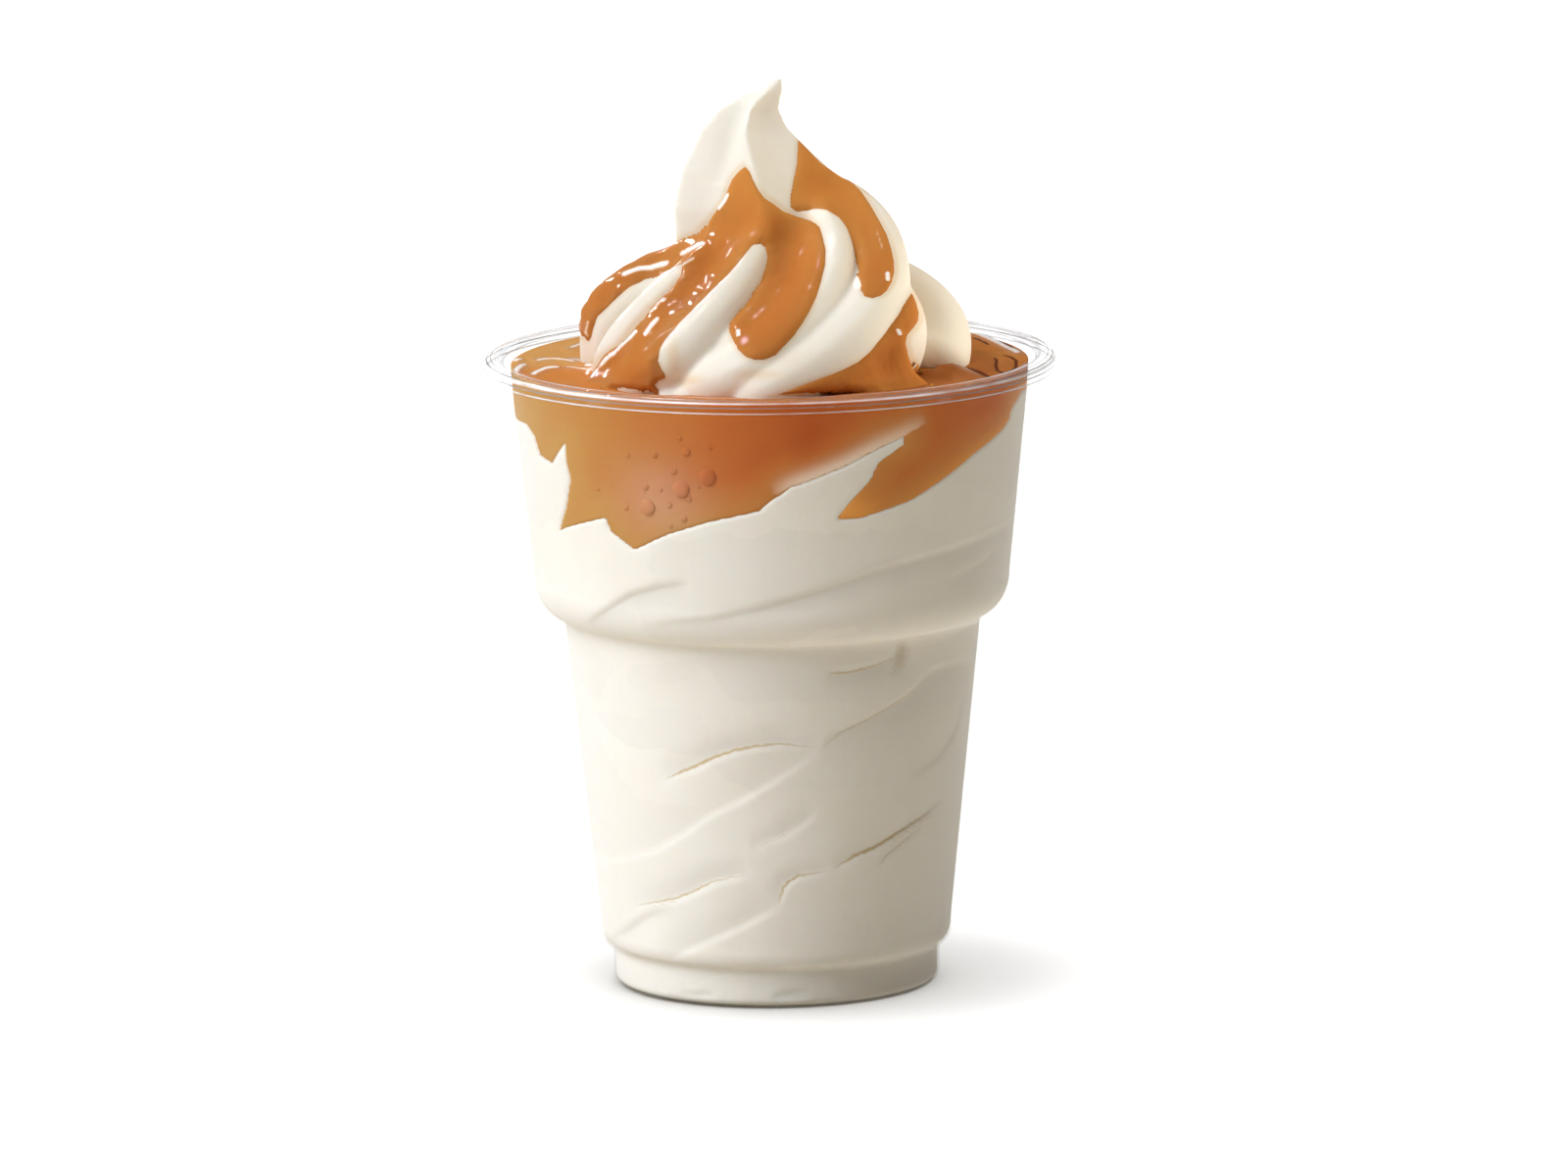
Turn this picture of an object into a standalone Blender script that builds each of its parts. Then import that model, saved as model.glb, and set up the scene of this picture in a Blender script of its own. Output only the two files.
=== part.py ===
"""Soft serve sundae with caramel sauce in a clear plastic cup, in metres with +Z up.

The origin is the middle of the foot's underside, and the front view looks along +Y. Sizes below are in
millimetres and degrees. A bearing is an angle about the cup's axis, 0 at the front and positive to the right.
Four solids lie in one another: the cup, the ice cream that fills it, the caramel layer that runs through
under the swirl and hangs down the wall in tongues, and the piped swirl with its drizzle in relief.
"""

import math

import bmesh
import bpy
import numpy as np
from mathutils import Vector

MM = 0.001
GAP = 0.3  # between solids that touch in the real thing

# Cup
WALL = 0.8
FOOT_RADIUS = 24.6
FOOT_HEIGHT = 6.0
PUSH_UP = 2.0  # the base is raised inside the ring that it stands on
RING_INNER_RADIUS = 19.5
WAIST_RADIUS = 26.7  # the lower body, just above the foot
WAIST_HEIGHT = 9.2
LOWER_TOP_RADIUS = 31.7
LOWER_TOP_HEIGHT = 56.0
SHOULDER_REACH = 4.4
SHOULDER_RISE = 6.4
DRUM_TOP_RADIUS = 39.2
DRUM_TOP_HEIGHT = 92.0
RIM_RADIUS = 43.0
RIM_HEIGHT = 95.3
CUP_SIDES = 48

# Fill and caramel layer
FOOD_SIDES = 72
POOL_HEIGHT = 94.0
FILL_CENTRE_HEIGHT = 85.0
CURTAIN_START = 0.84  # share of the wall's radius where the caramel starts to run down
LAYER_SHARES = (1.0, 0.95, 0.9, CURTAIN_START, 0.5)  # of the wall's radius, the rings of the layer's underside
LOWEST_FULL_ROW = 66.0  # the fill has level rings up to here, under the lowest tongue
FILL_ROWS = (13, 52, 11)  # lowest, highest and number of the level rings in the lower body
POOL_EDGE_DROP = 0.3
POOL_EDGE_WIDTH = 0.8

# Lower edge of the caramel on the wall: bearing, height. The front is as seen, the back follows its rhythm.
SAUCE_EDGE = (
    (-87, 86.8), (-73, 87.0), (-66, 83.4), (-59, 82.0), (-54, 85.8), (-52, 78.6), (-50, 73.6),
    (-42, 75.2), (-34, 70.9), (-15, 75.8), (-2, 77.6), (8, 81.7), (13, 82.3), (16, 76.4), (22, 76.0),
    (34, 78.1), (53, 83.5), (70, 88.8), (84, 90.2), (104, 85.6), (116, 78.1), (128, 81.0), (146, 87.6),
    (163, 83.6), (178, 75.1), (194, 79.6), (210, 87.0), (226, 83.6), (238, 80.6), (252, 87.0),
)

# Folds in the fill where it was laid in turn on turn: start bearing, start height, end bearing, end height
FOLDS = (
    (-50, 58, -20, 66), (-14, 60, 82, 72), (-36, 35, 14, 41.5), (14, 41, 66, 51.5),
    (-92, 18, -20, 29.5), (-20, 29.5, 18, 42), (3, 50, 38, 54), (18, 21, 58, 30.5),
    (-50, 14, -3, 20.5), (95, 23, 160, 38), (110, 41, 185, 56), (150, 15, 215, 28),
    (170, 61, 240, 69), (190, 37, 262, 51), (255, 56, 298, 63),
)
FOLD_DEPTH = 0.8
FOLD_WIDTH = 2.6
FOLD_STEEPNESS = 2.2  # a fold's upper side is this much steeper than its lower side

# Swirl arms: crown bearing, turn to the foot, reach, crown height over the pool, girth, slump, which is over
# 1 for an arm that slopes straight down and under 1 for one with a high shoulder, and the share of its reach
# that the arm keeps to while it is at the side
ARMS = (
    (-78, 22, 28.4, 19.6, 4.6, 0.78, 1.0),
    (-36, 37, 28.2, 21.5, 4.4, 1.0, 1.0),
    (-2, 42, 33.8, 23.5, 5.0, 1.2, 1.0),
    (46, 72, 33.6, 27.5, 6.0, 1.15, 0.86),
    (84, 98, 34.6, 29.8, 6.9, 1.0, 0.86),
    (116, 40, 30.2, 18.0, 5.4, 0.95, 1.0),
    (158, 46, 29.4, 20.5, 5.4, 0.9, 1.0),
    (199, 44, 28.8, 21.5, 5.2, 0.9, 1.0),
    (239, 38, 28.4, 19.0, 5.0, 0.85, 1.0),
)
ARM_FIRST_SLOPE = 18  # degrees down from the crown where an arm's crest starts
ARM_LAST_SLOPE = 104
ARM_STATIONS = 40
ARM_FOOT_HEIGHT = 1.6  # an arm is widest this far over the pool, and tucks in below
ARM_BEND = 1.25  # over 1 where an arm turns more and more on its way down
CROWN_GIRTH = 0.6  # share of its girth that an arm has at the crown
ARM_SWELL = 0.8  # under 1 where an arm gains its girth early
CORE = (  # balls inside the arms: right, front, height over the pool, radius
    (0.0, 3.0, -1.0, 22.5),
    (1.5, 2.0, 8.0, 17.0),
    (3.5, 2.0, 15.5, 12.5),
)

# Peak: height, middle to the right, radius
PEAK = (
    (137.5, 2.4, 0.3), (136.0, 1.3, 1.3), (135.1, 0.2, 2.2), (134.2, -1.0, 3.0), (132.4, -2.7, 4.2),
    (129.7, -3.3, 5.8), (126.7, -2.5, 7.8), (123.7, -1.7, 10.0), (118.0, 0.2, 12.9), (113.0, 1.0, 13.4),
    (106.0, 0.0, 13.0),
)
PEAK_SIDES = 80
PEAK_ROWS = 40
PEAK_FLUTES = 5
FLUTE_DEPTH = 0.24
FLUTE_BEARING = 0  # of the front crest
FLUTE_SHARPNESS = 1.3
FLUTE_MIDDLE = 0.28  # share of a flute's depth at which the peak keeps its radius

# Drizzle, as strokes seen from the front a little above: right of the axis, up from the pool, half width
VIEW_TILT = 10
FRONT_DRIZZLE = (
    ((-3.8, 28.4, 1.2), (-3.9, 25.8, 2.4), (-3.6, 22.6, 4.2), (-4.2, 19.6, 5.6)),
    ((-2.6, 22.0, 3.6), (1.0, 19.0, 4.0), (4.2, 16.5, 4.2), (4.2, 13.9, 4.4), (2.4, 9.6, 4.8)),
    ((2.4, 9.6, 4.8), (0.0, 6.0, 5.1), (-1.3, 2.9, 3.5)),
    ((-6.0, 18.5, 4.6), (-7.4, 15.5, 3.0), (-10.7, 12.0, 3.3), (-15.6, 7.3, 3.5), (-19.5, 2.0, 3.6)),
    ((5.2, 32.3, 0.8), (7.0, 28.8, 2.9), (8.4, 26.6, 3.6), (12.4, 23.6, 3.4), (14.2, 20.4, 2.9)),
    ((14.2, 20.4, 2.9), (15.6, 17.5, 2.7), (16.4, 13.5, 2.7), (16.4, 11.4, 2.5)),
    ((21.6, 9.6, 0.6), (21.3, 6.1, 1.8), (18.8, 2.6, 2.4), (17.8, -0.4, 4.4), (15.5, -4.5, 7.5)),
    ((-11.7, 19.0, 1.8), (-17.3, 14.9, 2.4), (-22.2, 12.4, 2.4), (-25.4, 8.7, 2.0), (-28.0, 4.7, 1.6)),
)
BACK_DRIZZLE = (
    ((5.2, 32.3, 1.2), (6.0, 27.5, 4.0), (5.0, 22.5, 7.0), (4.0, 17.5, 7.5)),
    ((8.0, 17.5, 4.0), (10.0, 11.5, 3.2), (13.5, 5.5, 3.6), (16.0, 1.5, 3.2)),
    ((0.0, 17.5, 4.0), (-3.0, 11.5, 3.8), (-3.5, 6.0, 4.2)),
    ((-11.7, 19.0, 1.8), (-15.0, 14.5, 3.4), (-17.0, 9.0, 3.2), (-19.0, 3.0, 3.8)),
)
DRIZZLE_RELIEF = 0.9
DRIZZLE_EDGE = 1.0  # the drizzle's side falls over this width

# Mesh fineness of the swirl
MODEL_VOXEL = 0.75
SOFTENING_PASSES = 6
VALLEY_PASSES = 10  # extra softening of the drizzle's top, which levels the valleys under it
SWIRL_TRIANGLES = 4600

# Block that cuts the swirl off level
CUTTER_WIDTH = 100
CUTTER_DEPTH = 40


def offset_inward(profile, distance):
    """The profile moved to its left side, which is the inside of a wall that is followed upwards."""
    points = np.array(profile, dtype=float)
    steps = np.diff(points, axis=0)
    normals = np.stack([-steps[:, 1], steps[:, 0]], axis=1)
    normals /= np.linalg.norm(normals, axis=1)[:, None]
    before = np.vstack([normals[:1], normals])
    after = np.vstack([normals, normals[-1:]])
    middle = before + after
    middle /= np.linalg.norm(middle, axis=1)[:, None]
    stretch = np.clip(np.sum(middle * after, axis=1), 0.5, 1.0)
    moved = points + middle * (distance / stretch)[:, None]
    moved[0, 0] = points[0, 0]
    return moved


def arc(middle, reach, rise, first, last, count):
    """Points of an ellipse's arc in the radius and height plane, from one angle to another."""
    angles = np.radians(np.linspace(first, last, count))
    return [(middle[0] + reach * math.cos(a), middle[1] + rise * math.sin(a)) for a in angles]


def wall_profile():
    """Outer profile of the cup from the middle of its underside up to the rim's root."""
    foot_edge = [(FOOT_RADIUS - 1.2, 0.0), (FOOT_RADIUS, 1.4), (FOOT_RADIUS, FOOT_HEIGHT - 0.2)]
    waist_reach = WAIST_RADIUS - FOOT_RADIUS - 0.1
    waist_middle = (FOOT_RADIUS + 0.1, WAIST_HEIGHT)
    waist = arc(waist_middle, waist_reach, WAIST_HEIGHT - FOOT_HEIGHT, -90, 0, 5)
    shoulder_middle = (LOWER_TOP_RADIUS, LOWER_TOP_HEIGHT + SHOULDER_RISE)
    shoulder = arc(shoulder_middle, SHOULDER_REACH, SHOULDER_RISE, -90, 0, 6)
    under = [(0.0, PUSH_UP), (RING_INNER_RADIUS - 1.6, PUSH_UP), (RING_INNER_RADIUS, 0.0)]
    top = [(DRUM_TOP_RADIUS, DRUM_TOP_HEIGHT)]
    return under + foot_edge + waist + [(LOWER_TOP_RADIUS - 0.1, LOWER_TOP_HEIGHT - 0.5)] + shoulder + top


def rim_profile():
    """Rolled rim, from the wall's outside over the bead and the inner lip to the wall's inside."""
    bead_middle = (RIM_RADIUS - 1.7, RIM_HEIGHT - 1.6)
    bead = arc(bead_middle, 1.7, 1.6, -110, 100, 8)
    lip = [(RIM_RADIUS - 2.4, RIM_HEIGHT - 0.35), (RIM_RADIUS - 3.2, RIM_HEIGHT - 0.1)]
    inside = [(DRUM_TOP_RADIUS - WALL + 0.35, RIM_HEIGHT - 0.8)]
    return bead + lip + inside


def interior(clearance):
    """Profile of the space in the cup, moved in by a clearance, from the base's middle upwards."""
    return offset_inward(wall_profile(), WALL + clearance)


def ring_row(radius, height, sides):
    """One level ring of points, in millimetres, starting at the front and turning to the right."""
    bearings = 2 * np.pi * np.arange(sides) / sides
    radius = np.broadcast_to(radius, bearings.shape)
    height = np.broadcast_to(height, bearings.shape)
    return np.stack([radius * np.sin(bearings), -radius * np.cos(bearings), height], axis=1)


def skin_rows(bm, rows, end_heights=None, other_diagonal=False):
    """Triangles between rings of points. Each end is closed by a fan to its middle height or by one face."""
    rings = [[bm.verts.new(Vector(point) * MM) for point in row] for row in rows]
    sides = len(rings[0])
    for lower, upper in zip(rings, rings[1:]):
        for i in range(sides):
            j = (i + 1) % sides
            if other_diagonal:
                bm.faces.new((lower[i], lower[j], upper[i]))
                bm.faces.new((lower[j], upper[j], upper[i]))
            else:
                bm.faces.new((lower[i], lower[j], upper[j]))
                bm.faces.new((lower[i], upper[j], upper[i]))
    if end_heights is None:
        bm.faces.new(rings[0][::-1])
        bm.faces.new(rings[-1])
        return
    for ring, height in zip((rings[0][::-1], rings[-1]), end_heights):
        middle = bm.verts.new((0.0, 0.0, height * MM))
        for i in range(sides):
            bm.faces.new((ring[i], ring[(i + 1) % sides], middle))


def solid_from_rows(name, rows, end_heights, material, other_diagonal=False):
    bm = bmesh.new()
    skin_rows(bm, rows, end_heights, other_diagonal)
    return finish_object(name, bm, material)


def finish_object(name, bm, material):
    mesh = bpy.data.meshes.new(name)
    bm.to_mesh(mesh)
    bm.free()
    mesh.materials.append(material)
    mesh.shade_smooth()
    mesh.set_sharp_from_angle(angle=math.radians(35))
    thing = bpy.data.objects.new(name, mesh)
    bpy.context.scene.collection.objects.link(thing)
    return thing


def make_material(name, colour, roughness, transmission=0.0):
    material = bpy.data.materials.new(name)
    material.use_nodes = True
    shader = material.node_tree.nodes["Principled BSDF"]
    shader.inputs["Base Color"].default_value = (*colour, 1.0)
    shader.inputs["Roughness"].default_value = roughness
    shader.inputs["Metallic"].default_value = 0.0
    shader.inputs["Transmission Weight"].default_value = transmission
    return material


def make_cup(material):
    outer = wall_profile()
    inner = [tuple(point) for point in interior(0.0)[::-1]]
    profile = outer[1:] + rim_profile() + inner[:-1]
    rows = [ring_row(radius, height, CUP_SIDES) for radius, height in profile]
    return solid_from_rows("cup", rows, (outer[0][1], inner[-1][1]), material)


def sauce_edge_height(bearings):
    """Height of the caramel's lower edge on the wall at each bearing, in degrees."""
    table = np.array(SAUCE_EDGE, dtype=float)
    return np.interp(bearings, table[:, 0], table[:, 1], period=360)


def fold_depth(bearings, heights, radius):
    """How far the fill's side is drawn in by its folds, sharp above and easy below each fold's line."""
    depth = np.zeros(np.broadcast(bearings, heights).shape)
    for first, low, last, high in FOLDS:
        span = math.radians(last - first) * radius
        along = np.radians((bearings - first + 180) % 360 - 180) * radius
        share = np.clip(along / span, 0, 1)
        line = low + (high - low) * share
        beyond = np.where(share * span == along, 0, along - share * span)
        across = np.where(heights > line, (heights - line) * FOLD_STEEPNESS, line - heights)
        taper = np.sin(math.pi * np.clip(share, 0.03, 0.97)) ** 0.5
        distance = np.hypot(across, beyond)
        depth = np.maximum(depth, FOLD_DEPTH * taper * np.exp(-((distance / FOLD_WIDTH) ** 2)))
    return depth


def bearing_of_sides():
    return 360.0 * np.arange(FOOD_SIDES) / FOOD_SIDES


def layer_rows(clearance_up, walls, centre_height):
    """Rings of the face between fill and caramel, from the wall to the middle."""
    bearings = bearing_of_sides()
    edge = sauce_edge_height(bearings)
    radii = np.interp(edge, walls[:, 1], walls[:, 0])
    rows = []
    for share in LAYER_SHARES:
        blend = np.clip((share - CURTAIN_START) / (1 - CURTAIN_START), 0, 1) ** 2
        height = centre_height + (edge - centre_height) * blend + clearance_up
        rows.append(ring_row(radii * share, height, FOOD_SIDES))
    return rows


def make_fill(material):
    walls = interior(GAP)
    climbing = walls[5:]
    bearings = bearing_of_sides()
    edge = sauce_edge_height(bearings)
    rows = [ring_row(radius, height, FOOD_SIDES) for radius, height in walls[1:5]]
    kept = [point[1] for point in climbing if point[1] < LOWEST_FULL_ROW]
    levels = sorted(set(kept) | set(np.linspace(*FILL_ROWS)))
    for height in levels:
        radius = np.interp(height, climbing[:, 1], climbing[:, 0])
        drawn_in = fold_depth(bearings, height, radius)
        rows.append(ring_row(radius - drawn_in, height, FOOD_SIDES))
    for share in (0.0, 0.5):
        height = LOWEST_FULL_ROW + (edge - LOWEST_FULL_ROW) * share
        radius = np.interp(height, climbing[:, 1], climbing[:, 0])
        rows.append(ring_row(radius - fold_depth(bearings, height, radius.mean()), height, FOOD_SIDES))
    rows += layer_rows(0.0, climbing, FILL_CENTRE_HEIGHT)
    return solid_from_rows("ice_cream_fill", rows, (walls[0][1], FILL_CENTRE_HEIGHT), material)


def make_caramel_layer(material):
    walls = interior(GAP)[5:]
    bearings = bearing_of_sides()
    edge = sauce_edge_height(bearings) + GAP
    rows = layer_rows(GAP, walls, FILL_CENTRE_HEIGHT)[::-1]
    for share in (0.5, 1.0):
        height = edge + (POOL_HEIGHT - POOL_EDGE_DROP - edge) * share
        rows.append(ring_row(np.interp(height, walls[:, 1], walls[:, 0]), height, FOOD_SIDES))
    pool_radius = float(np.interp(POOL_HEIGHT, walls[:, 1], walls[:, 0]))
    rows.append(ring_row(pool_radius - POOL_EDGE_WIDTH, POOL_HEIGHT - 0.05, FOOD_SIDES))
    rows.append(ring_row(pool_radius * 0.6, POOL_HEIGHT, FOOD_SIDES))
    ends = (FILL_CENTRE_HEIGHT + GAP, POOL_HEIGHT)
    return solid_from_rows("caramel_layer", rows, ends, material, other_diagonal=True)


def add_ball(bm, middle, radius):
    made = bmesh.ops.create_uvsphere(bm, u_segments=48, v_segments=24, radius=radius * MM)
    bmesh.ops.translate(bm, vec=Vector(middle) * MM, verts=made["verts"])


def arm_path(crown, turn, reach, rise, girth, slump, side_share):
    """Middle line and radii of one arm: out from the crown, round and down to its foot, with round ends."""
    length = math.radians(ARM_LAST_SLOPE - ARM_FIRST_SLOPE) * reach
    for share in np.linspace(0, 1, ARM_STATIONS):
        slope = math.radians(ARM_FIRST_SLOPE + (ARM_LAST_SLOPE - ARM_FIRST_SLOPE) * share)
        bearing = math.radians(crown - turn * share**ARM_BEND)
        thick = girth * (CROWN_GIRTH + (1 - CROWN_GIRTH) * share**ARM_SWELL)
        frontness = max(0.0, math.cos(bearing)) ** 3
        out = (reach * (side_share + (1 - side_share) * frontness) - thick) * math.sin(slope)
        drop = math.copysign(abs(math.cos(slope)) ** slump, math.cos(slope))
        height = POOL_HEIGHT + ARM_FOOT_HEIGHT + (rise - ARM_FOOT_HEIGHT - thick) * drop
        from_end = min(share, 1 - share) * length
        rounding = math.sqrt(1 - max(0.0, 1 - from_end / thick) ** 2)
        yield (out * math.sin(bearing), -out * math.cos(bearing), height), thick * max(rounding, 0.05)


def arm_tubes():
    """Mesh of all the arms as round tubes."""
    curve = bpy.data.curves.new("arms", "CURVE")
    curve.dimensions = "3D"
    curve.bevel_depth = MM
    curve.bevel_resolution = 6
    curve.use_fill_caps = True
    for arm in ARMS:
        spline = curve.splines.new("POLY")
        spline.points.add(ARM_STATIONS - 1)
        for point, (middle, radius) in zip(spline.points, arm_path(*arm)):
            point.co = (*(Vector(middle) * MM), 1.0)
            point.radius = radius
    holder = bpy.data.objects.new("arms", curve)
    mesh = bpy.data.meshes.new_from_object(holder)
    bpy.data.objects.remove(holder)
    return mesh


def peak_rows():
    """Rings of the leaning, fluted peak."""
    order = np.array(PEAK[::-1], dtype=float)
    bearings = 2 * np.pi * np.arange(PEAK_SIDES) / PEAK_SIDES
    wave = np.abs(np.sin((bearings - math.radians(FLUTE_BEARING)) * PEAK_FLUTES / 2))
    flutes = 1 + FLUTE_DEPTH * ((1 - wave) ** FLUTE_SHARPNESS - FLUTE_MIDDLE)
    rows = []
    for height in np.linspace(order[0, 0], order[-1, 0], PEAK_ROWS):
        ring = ring_row(np.interp(height, order[:, 0], order[:, 2]) * flutes, height, PEAK_SIDES)
        ring[:, 0] += np.interp(height, order[:, 0], order[:, 1])
        rows.append(ring)
    return rows


def swirl_blocks():
    """The arms, the core and the peak in one mesh, still overlapping."""
    bm = bmesh.new()
    bm.from_mesh(arm_tubes())
    for right, front, height, radius in CORE:
        add_ball(bm, (right, -front, POOL_HEIGHT + height), radius)
    skin_rows(bm, peak_rows())
    mesh = bpy.data.meshes.new("swirl_blocks")
    bm.to_mesh(mesh)
    bm.free()
    return mesh


def with_modifier(mesh, kind, **settings):
    """A new mesh: the given one as a modifier leaves it."""
    holder = bpy.data.objects.new("holder", mesh)
    bpy.context.scene.collection.objects.link(holder)
    modifier = holder.modifiers.new("step", kind)
    for key, value in settings.items():
        setattr(modifier, key, value)
    bpy.context.view_layer.update()
    result = bpy.data.meshes.new_from_object(holder.evaluated_get(bpy.context.evaluated_depsgraph_get()))
    bpy.data.objects.remove(holder)
    return result


def stroke_distance(points, strokes):
    """Distance in millimetres outside the nearest stroke, negative inside, of points in the drawing plane."""
    nearest = np.full(len(points), 1e3)
    for stroke in strokes:
        for start, end in zip(stroke, stroke[1:]):
            start = np.array(start)
            step = np.array(end) - start
            share = np.clip((points - start[:2]) @ step[:2] / (step[:2] @ step[:2]), 0, 1)
            offset = points - start[:2] - share[:, None] * step[:2]
            nearest = np.minimum(nearest, np.linalg.norm(offset, axis=1) - start[2] - share * step[2])
    return nearest


def drizzle_share(points):
    """How much drizzle lies over each point of the swirl, from 0 to 1, with points in millimetres."""
    tilt = math.radians(VIEW_TILT)
    up = (points[:, 2] - POOL_HEIGHT) * math.cos(tilt) + points[:, 1] * math.sin(tilt)
    drawn = np.stack([points[:, 0], up], axis=1)
    front = stroke_distance(drawn, FRONT_DRIZZLE)
    back = stroke_distance(drawn, BACK_DRIZZLE)
    distance = np.where(points[:, 1] < 0, front, back)
    inside = np.clip(0.5 - distance / DRIZZLE_EDGE, 0, 1)
    return inside * inside * (3 - 2 * inside)


def vertex_array(mesh, kind="position"):
    values = np.empty(len(mesh.vertices) * 3, dtype=np.float32)
    source = mesh.vertices if kind == "position" else mesh.vertex_normals
    source.foreach_get("co" if kind == "position" else "vector", values)
    return values.reshape(-1, 3).astype(float)


def make_swirl(material):
    body = with_modifier(swirl_blocks(), "REMESH", mode="VOXEL", voxel_size=MODEL_VOXEL * MM)
    body = with_modifier(body, "SMOOTH", factor=0.5, iterations=SOFTENING_PASSES)
    sauce = with_modifier(body, "SMOOTH", factor=0.5, iterations=VALLEY_PASSES)
    bare = vertex_array(body)
    coated = vertex_array(sauce) + vertex_array(sauce, "normal") * DRIZZLE_RELIEF * MM
    share = drizzle_share(bare / MM)[:, None]
    body.vertices.foreach_set("co", (bare + (coated - bare) * share).astype(np.float32).ravel())
    body.update()
    body = with_modifier(body, "TRIANGULATE")
    body = with_modifier(body, "DECIMATE", ratio=SWIRL_TRIANGLES / len(body.polygons))
    body.materials.clear()
    body.materials.append(material)
    swirl = bpy.data.objects.new("soft_serve_swirl", body)
    bpy.context.scene.collection.objects.link(swirl)
    level_foot(swirl)
    body.shade_smooth()
    return swirl


def level_foot(swirl):
    """Cuts the swirl off level, a gap over the caramel that it stands on."""
    bm = bmesh.new()
    bmesh.ops.create_cube(bm, size=MM)
    bmesh.ops.scale(bm, vec=(CUTTER_WIDTH, CUTTER_WIDTH, CUTTER_DEPTH), verts=bm.verts)
    bmesh.ops.translate(bm, vec=(0, 0, (POOL_HEIGHT + GAP - CUTTER_DEPTH / 2) * MM), verts=bm.verts)
    mesh = bpy.data.meshes.new("foot_cutter")
    bm.to_mesh(mesh)
    bm.free()
    cutter = bpy.data.objects.new("foot_cutter", mesh)
    bpy.context.scene.collection.objects.link(cutter)
    cutter.hide_render = True
    cutter.display_type = "WIRE"
    cut = swirl.modifiers.new("level_foot", "BOOLEAN")
    cut.operation = "DIFFERENCE"
    cut.solver = "EXACT"
    cut.object = cutter


def main():
    for thing in list(bpy.data.objects):
        bpy.data.objects.remove(thing)
    plastic = make_material("clear_plastic", (0.93, 0.94, 0.95), 0.06, transmission=1.0)
    cream = make_material("soft_serve", (0.93, 0.88, 0.78), 0.5)
    caramel = make_material("caramel", (0.60, 0.23, 0.05), 0.15)
    make_cup(plastic)
    make_fill(cream)
    make_caramel_layer(caramel)
    make_swirl(cream)


main()
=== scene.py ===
"""Soft serve sundae with caramel sauce in a clear plastic cup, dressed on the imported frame.

Sizes are in millimetres and degrees unless a line says otherwise. A bearing is an angle about the cup's
axis, 0 at the front and positive to the right. The cup is followed by what it holds: the ice cream against
its wall, the caramel with the pool on top, the piped swirl, and the drizzle that lies on it.
"""

import math

import bmesh
import bpy
import numpy as np
from mathutils import Matrix, Vector, noise
from mathutils.bvhtree import BVHTree


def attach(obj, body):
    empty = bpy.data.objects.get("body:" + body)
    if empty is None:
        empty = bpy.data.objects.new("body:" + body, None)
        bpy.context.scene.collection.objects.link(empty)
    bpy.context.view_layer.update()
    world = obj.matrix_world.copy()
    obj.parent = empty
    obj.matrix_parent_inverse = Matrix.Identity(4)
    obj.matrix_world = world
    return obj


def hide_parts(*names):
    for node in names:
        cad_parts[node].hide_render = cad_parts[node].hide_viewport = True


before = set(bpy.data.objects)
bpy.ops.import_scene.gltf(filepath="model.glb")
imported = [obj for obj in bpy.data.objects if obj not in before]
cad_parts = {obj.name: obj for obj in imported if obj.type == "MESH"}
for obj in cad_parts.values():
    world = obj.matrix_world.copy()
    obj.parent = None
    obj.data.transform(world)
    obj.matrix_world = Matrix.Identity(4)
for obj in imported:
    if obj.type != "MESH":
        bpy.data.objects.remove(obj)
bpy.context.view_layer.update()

MM = 0.001

# Cup
WALL = 0.8
CUP_STEPS = 160
FOOT_RADIUS = 24.6
FOOT_HEIGHT = 6.0
PUSH_UP = 2.0
RING_INNER_RADIUS = 19.5
WAIST_RADIUS = 26.7
WAIST_HEIGHT = 9.2
LOWER_TOP_RADIUS = 31.7
LOWER_TOP_HEIGHT = 56.0
SHOULDER_REACH = 4.4
SHOULDER_RISE = 6.4
DRUM_TOP_RADIUS = 39.2
DRUM_TOP_HEIGHT = 92.0
RIM_RADIUS = 42.95
RIM_HEIGHT = 95.28
WALL_CLEAR = 0.7  # this share of the light passes straight through the wall
RIM_CLEAR = 0.95  # and this share through the rim
CUP_CREASE = 50

# Painted lines of highlight and shade round the rolled rim: radius, height, half width, tone from 0, grey
# shade, to 1, white highlight
RIM_LINES = (
    (40.5, 95.24, 0.17, 1.0), (42.84, 94.70, 0.15, 1.0), (42.93, 93.15, 0.07, 0.8),
    (42.42, 95.06, 0.09, 0.0), (39.85, 94.7, 0.12, 0.1), (42.96, 94.0, 0.07, 0.1), (41.75, 95.3, 0.06, 0.2),
    (40.05, 95.0, 0.08, 0.0), (39.7, 94.0, 0.06, 0.3), (41.1, 95.3, 0.05, 0.3),
)
RIM_SPACING = 0.12
RIM_SHADE = 0.35  # the painted lines are this much darker at the right than in the middle: painted shade away from the light

# Filling
INTO_WALL = 0.35  # the filling reaches this far into the cup's wall, so that no air shows between them
FILL_STEPS = 384
FILL_SPACING = 0.55
SAUCE_STEPS = 420
SAUCE_SPACING = 0.32
POOL_HEIGHT = 94.0
FILL_TOP = 91.0
SWAP_DEPTH = 1.1  # how far caramel and ice cream give way to each other at the wall
SWAP_WIDTH = 0.8
WALL_ARC = 0.645  # millimetres of the drum's wall to a degree

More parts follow.
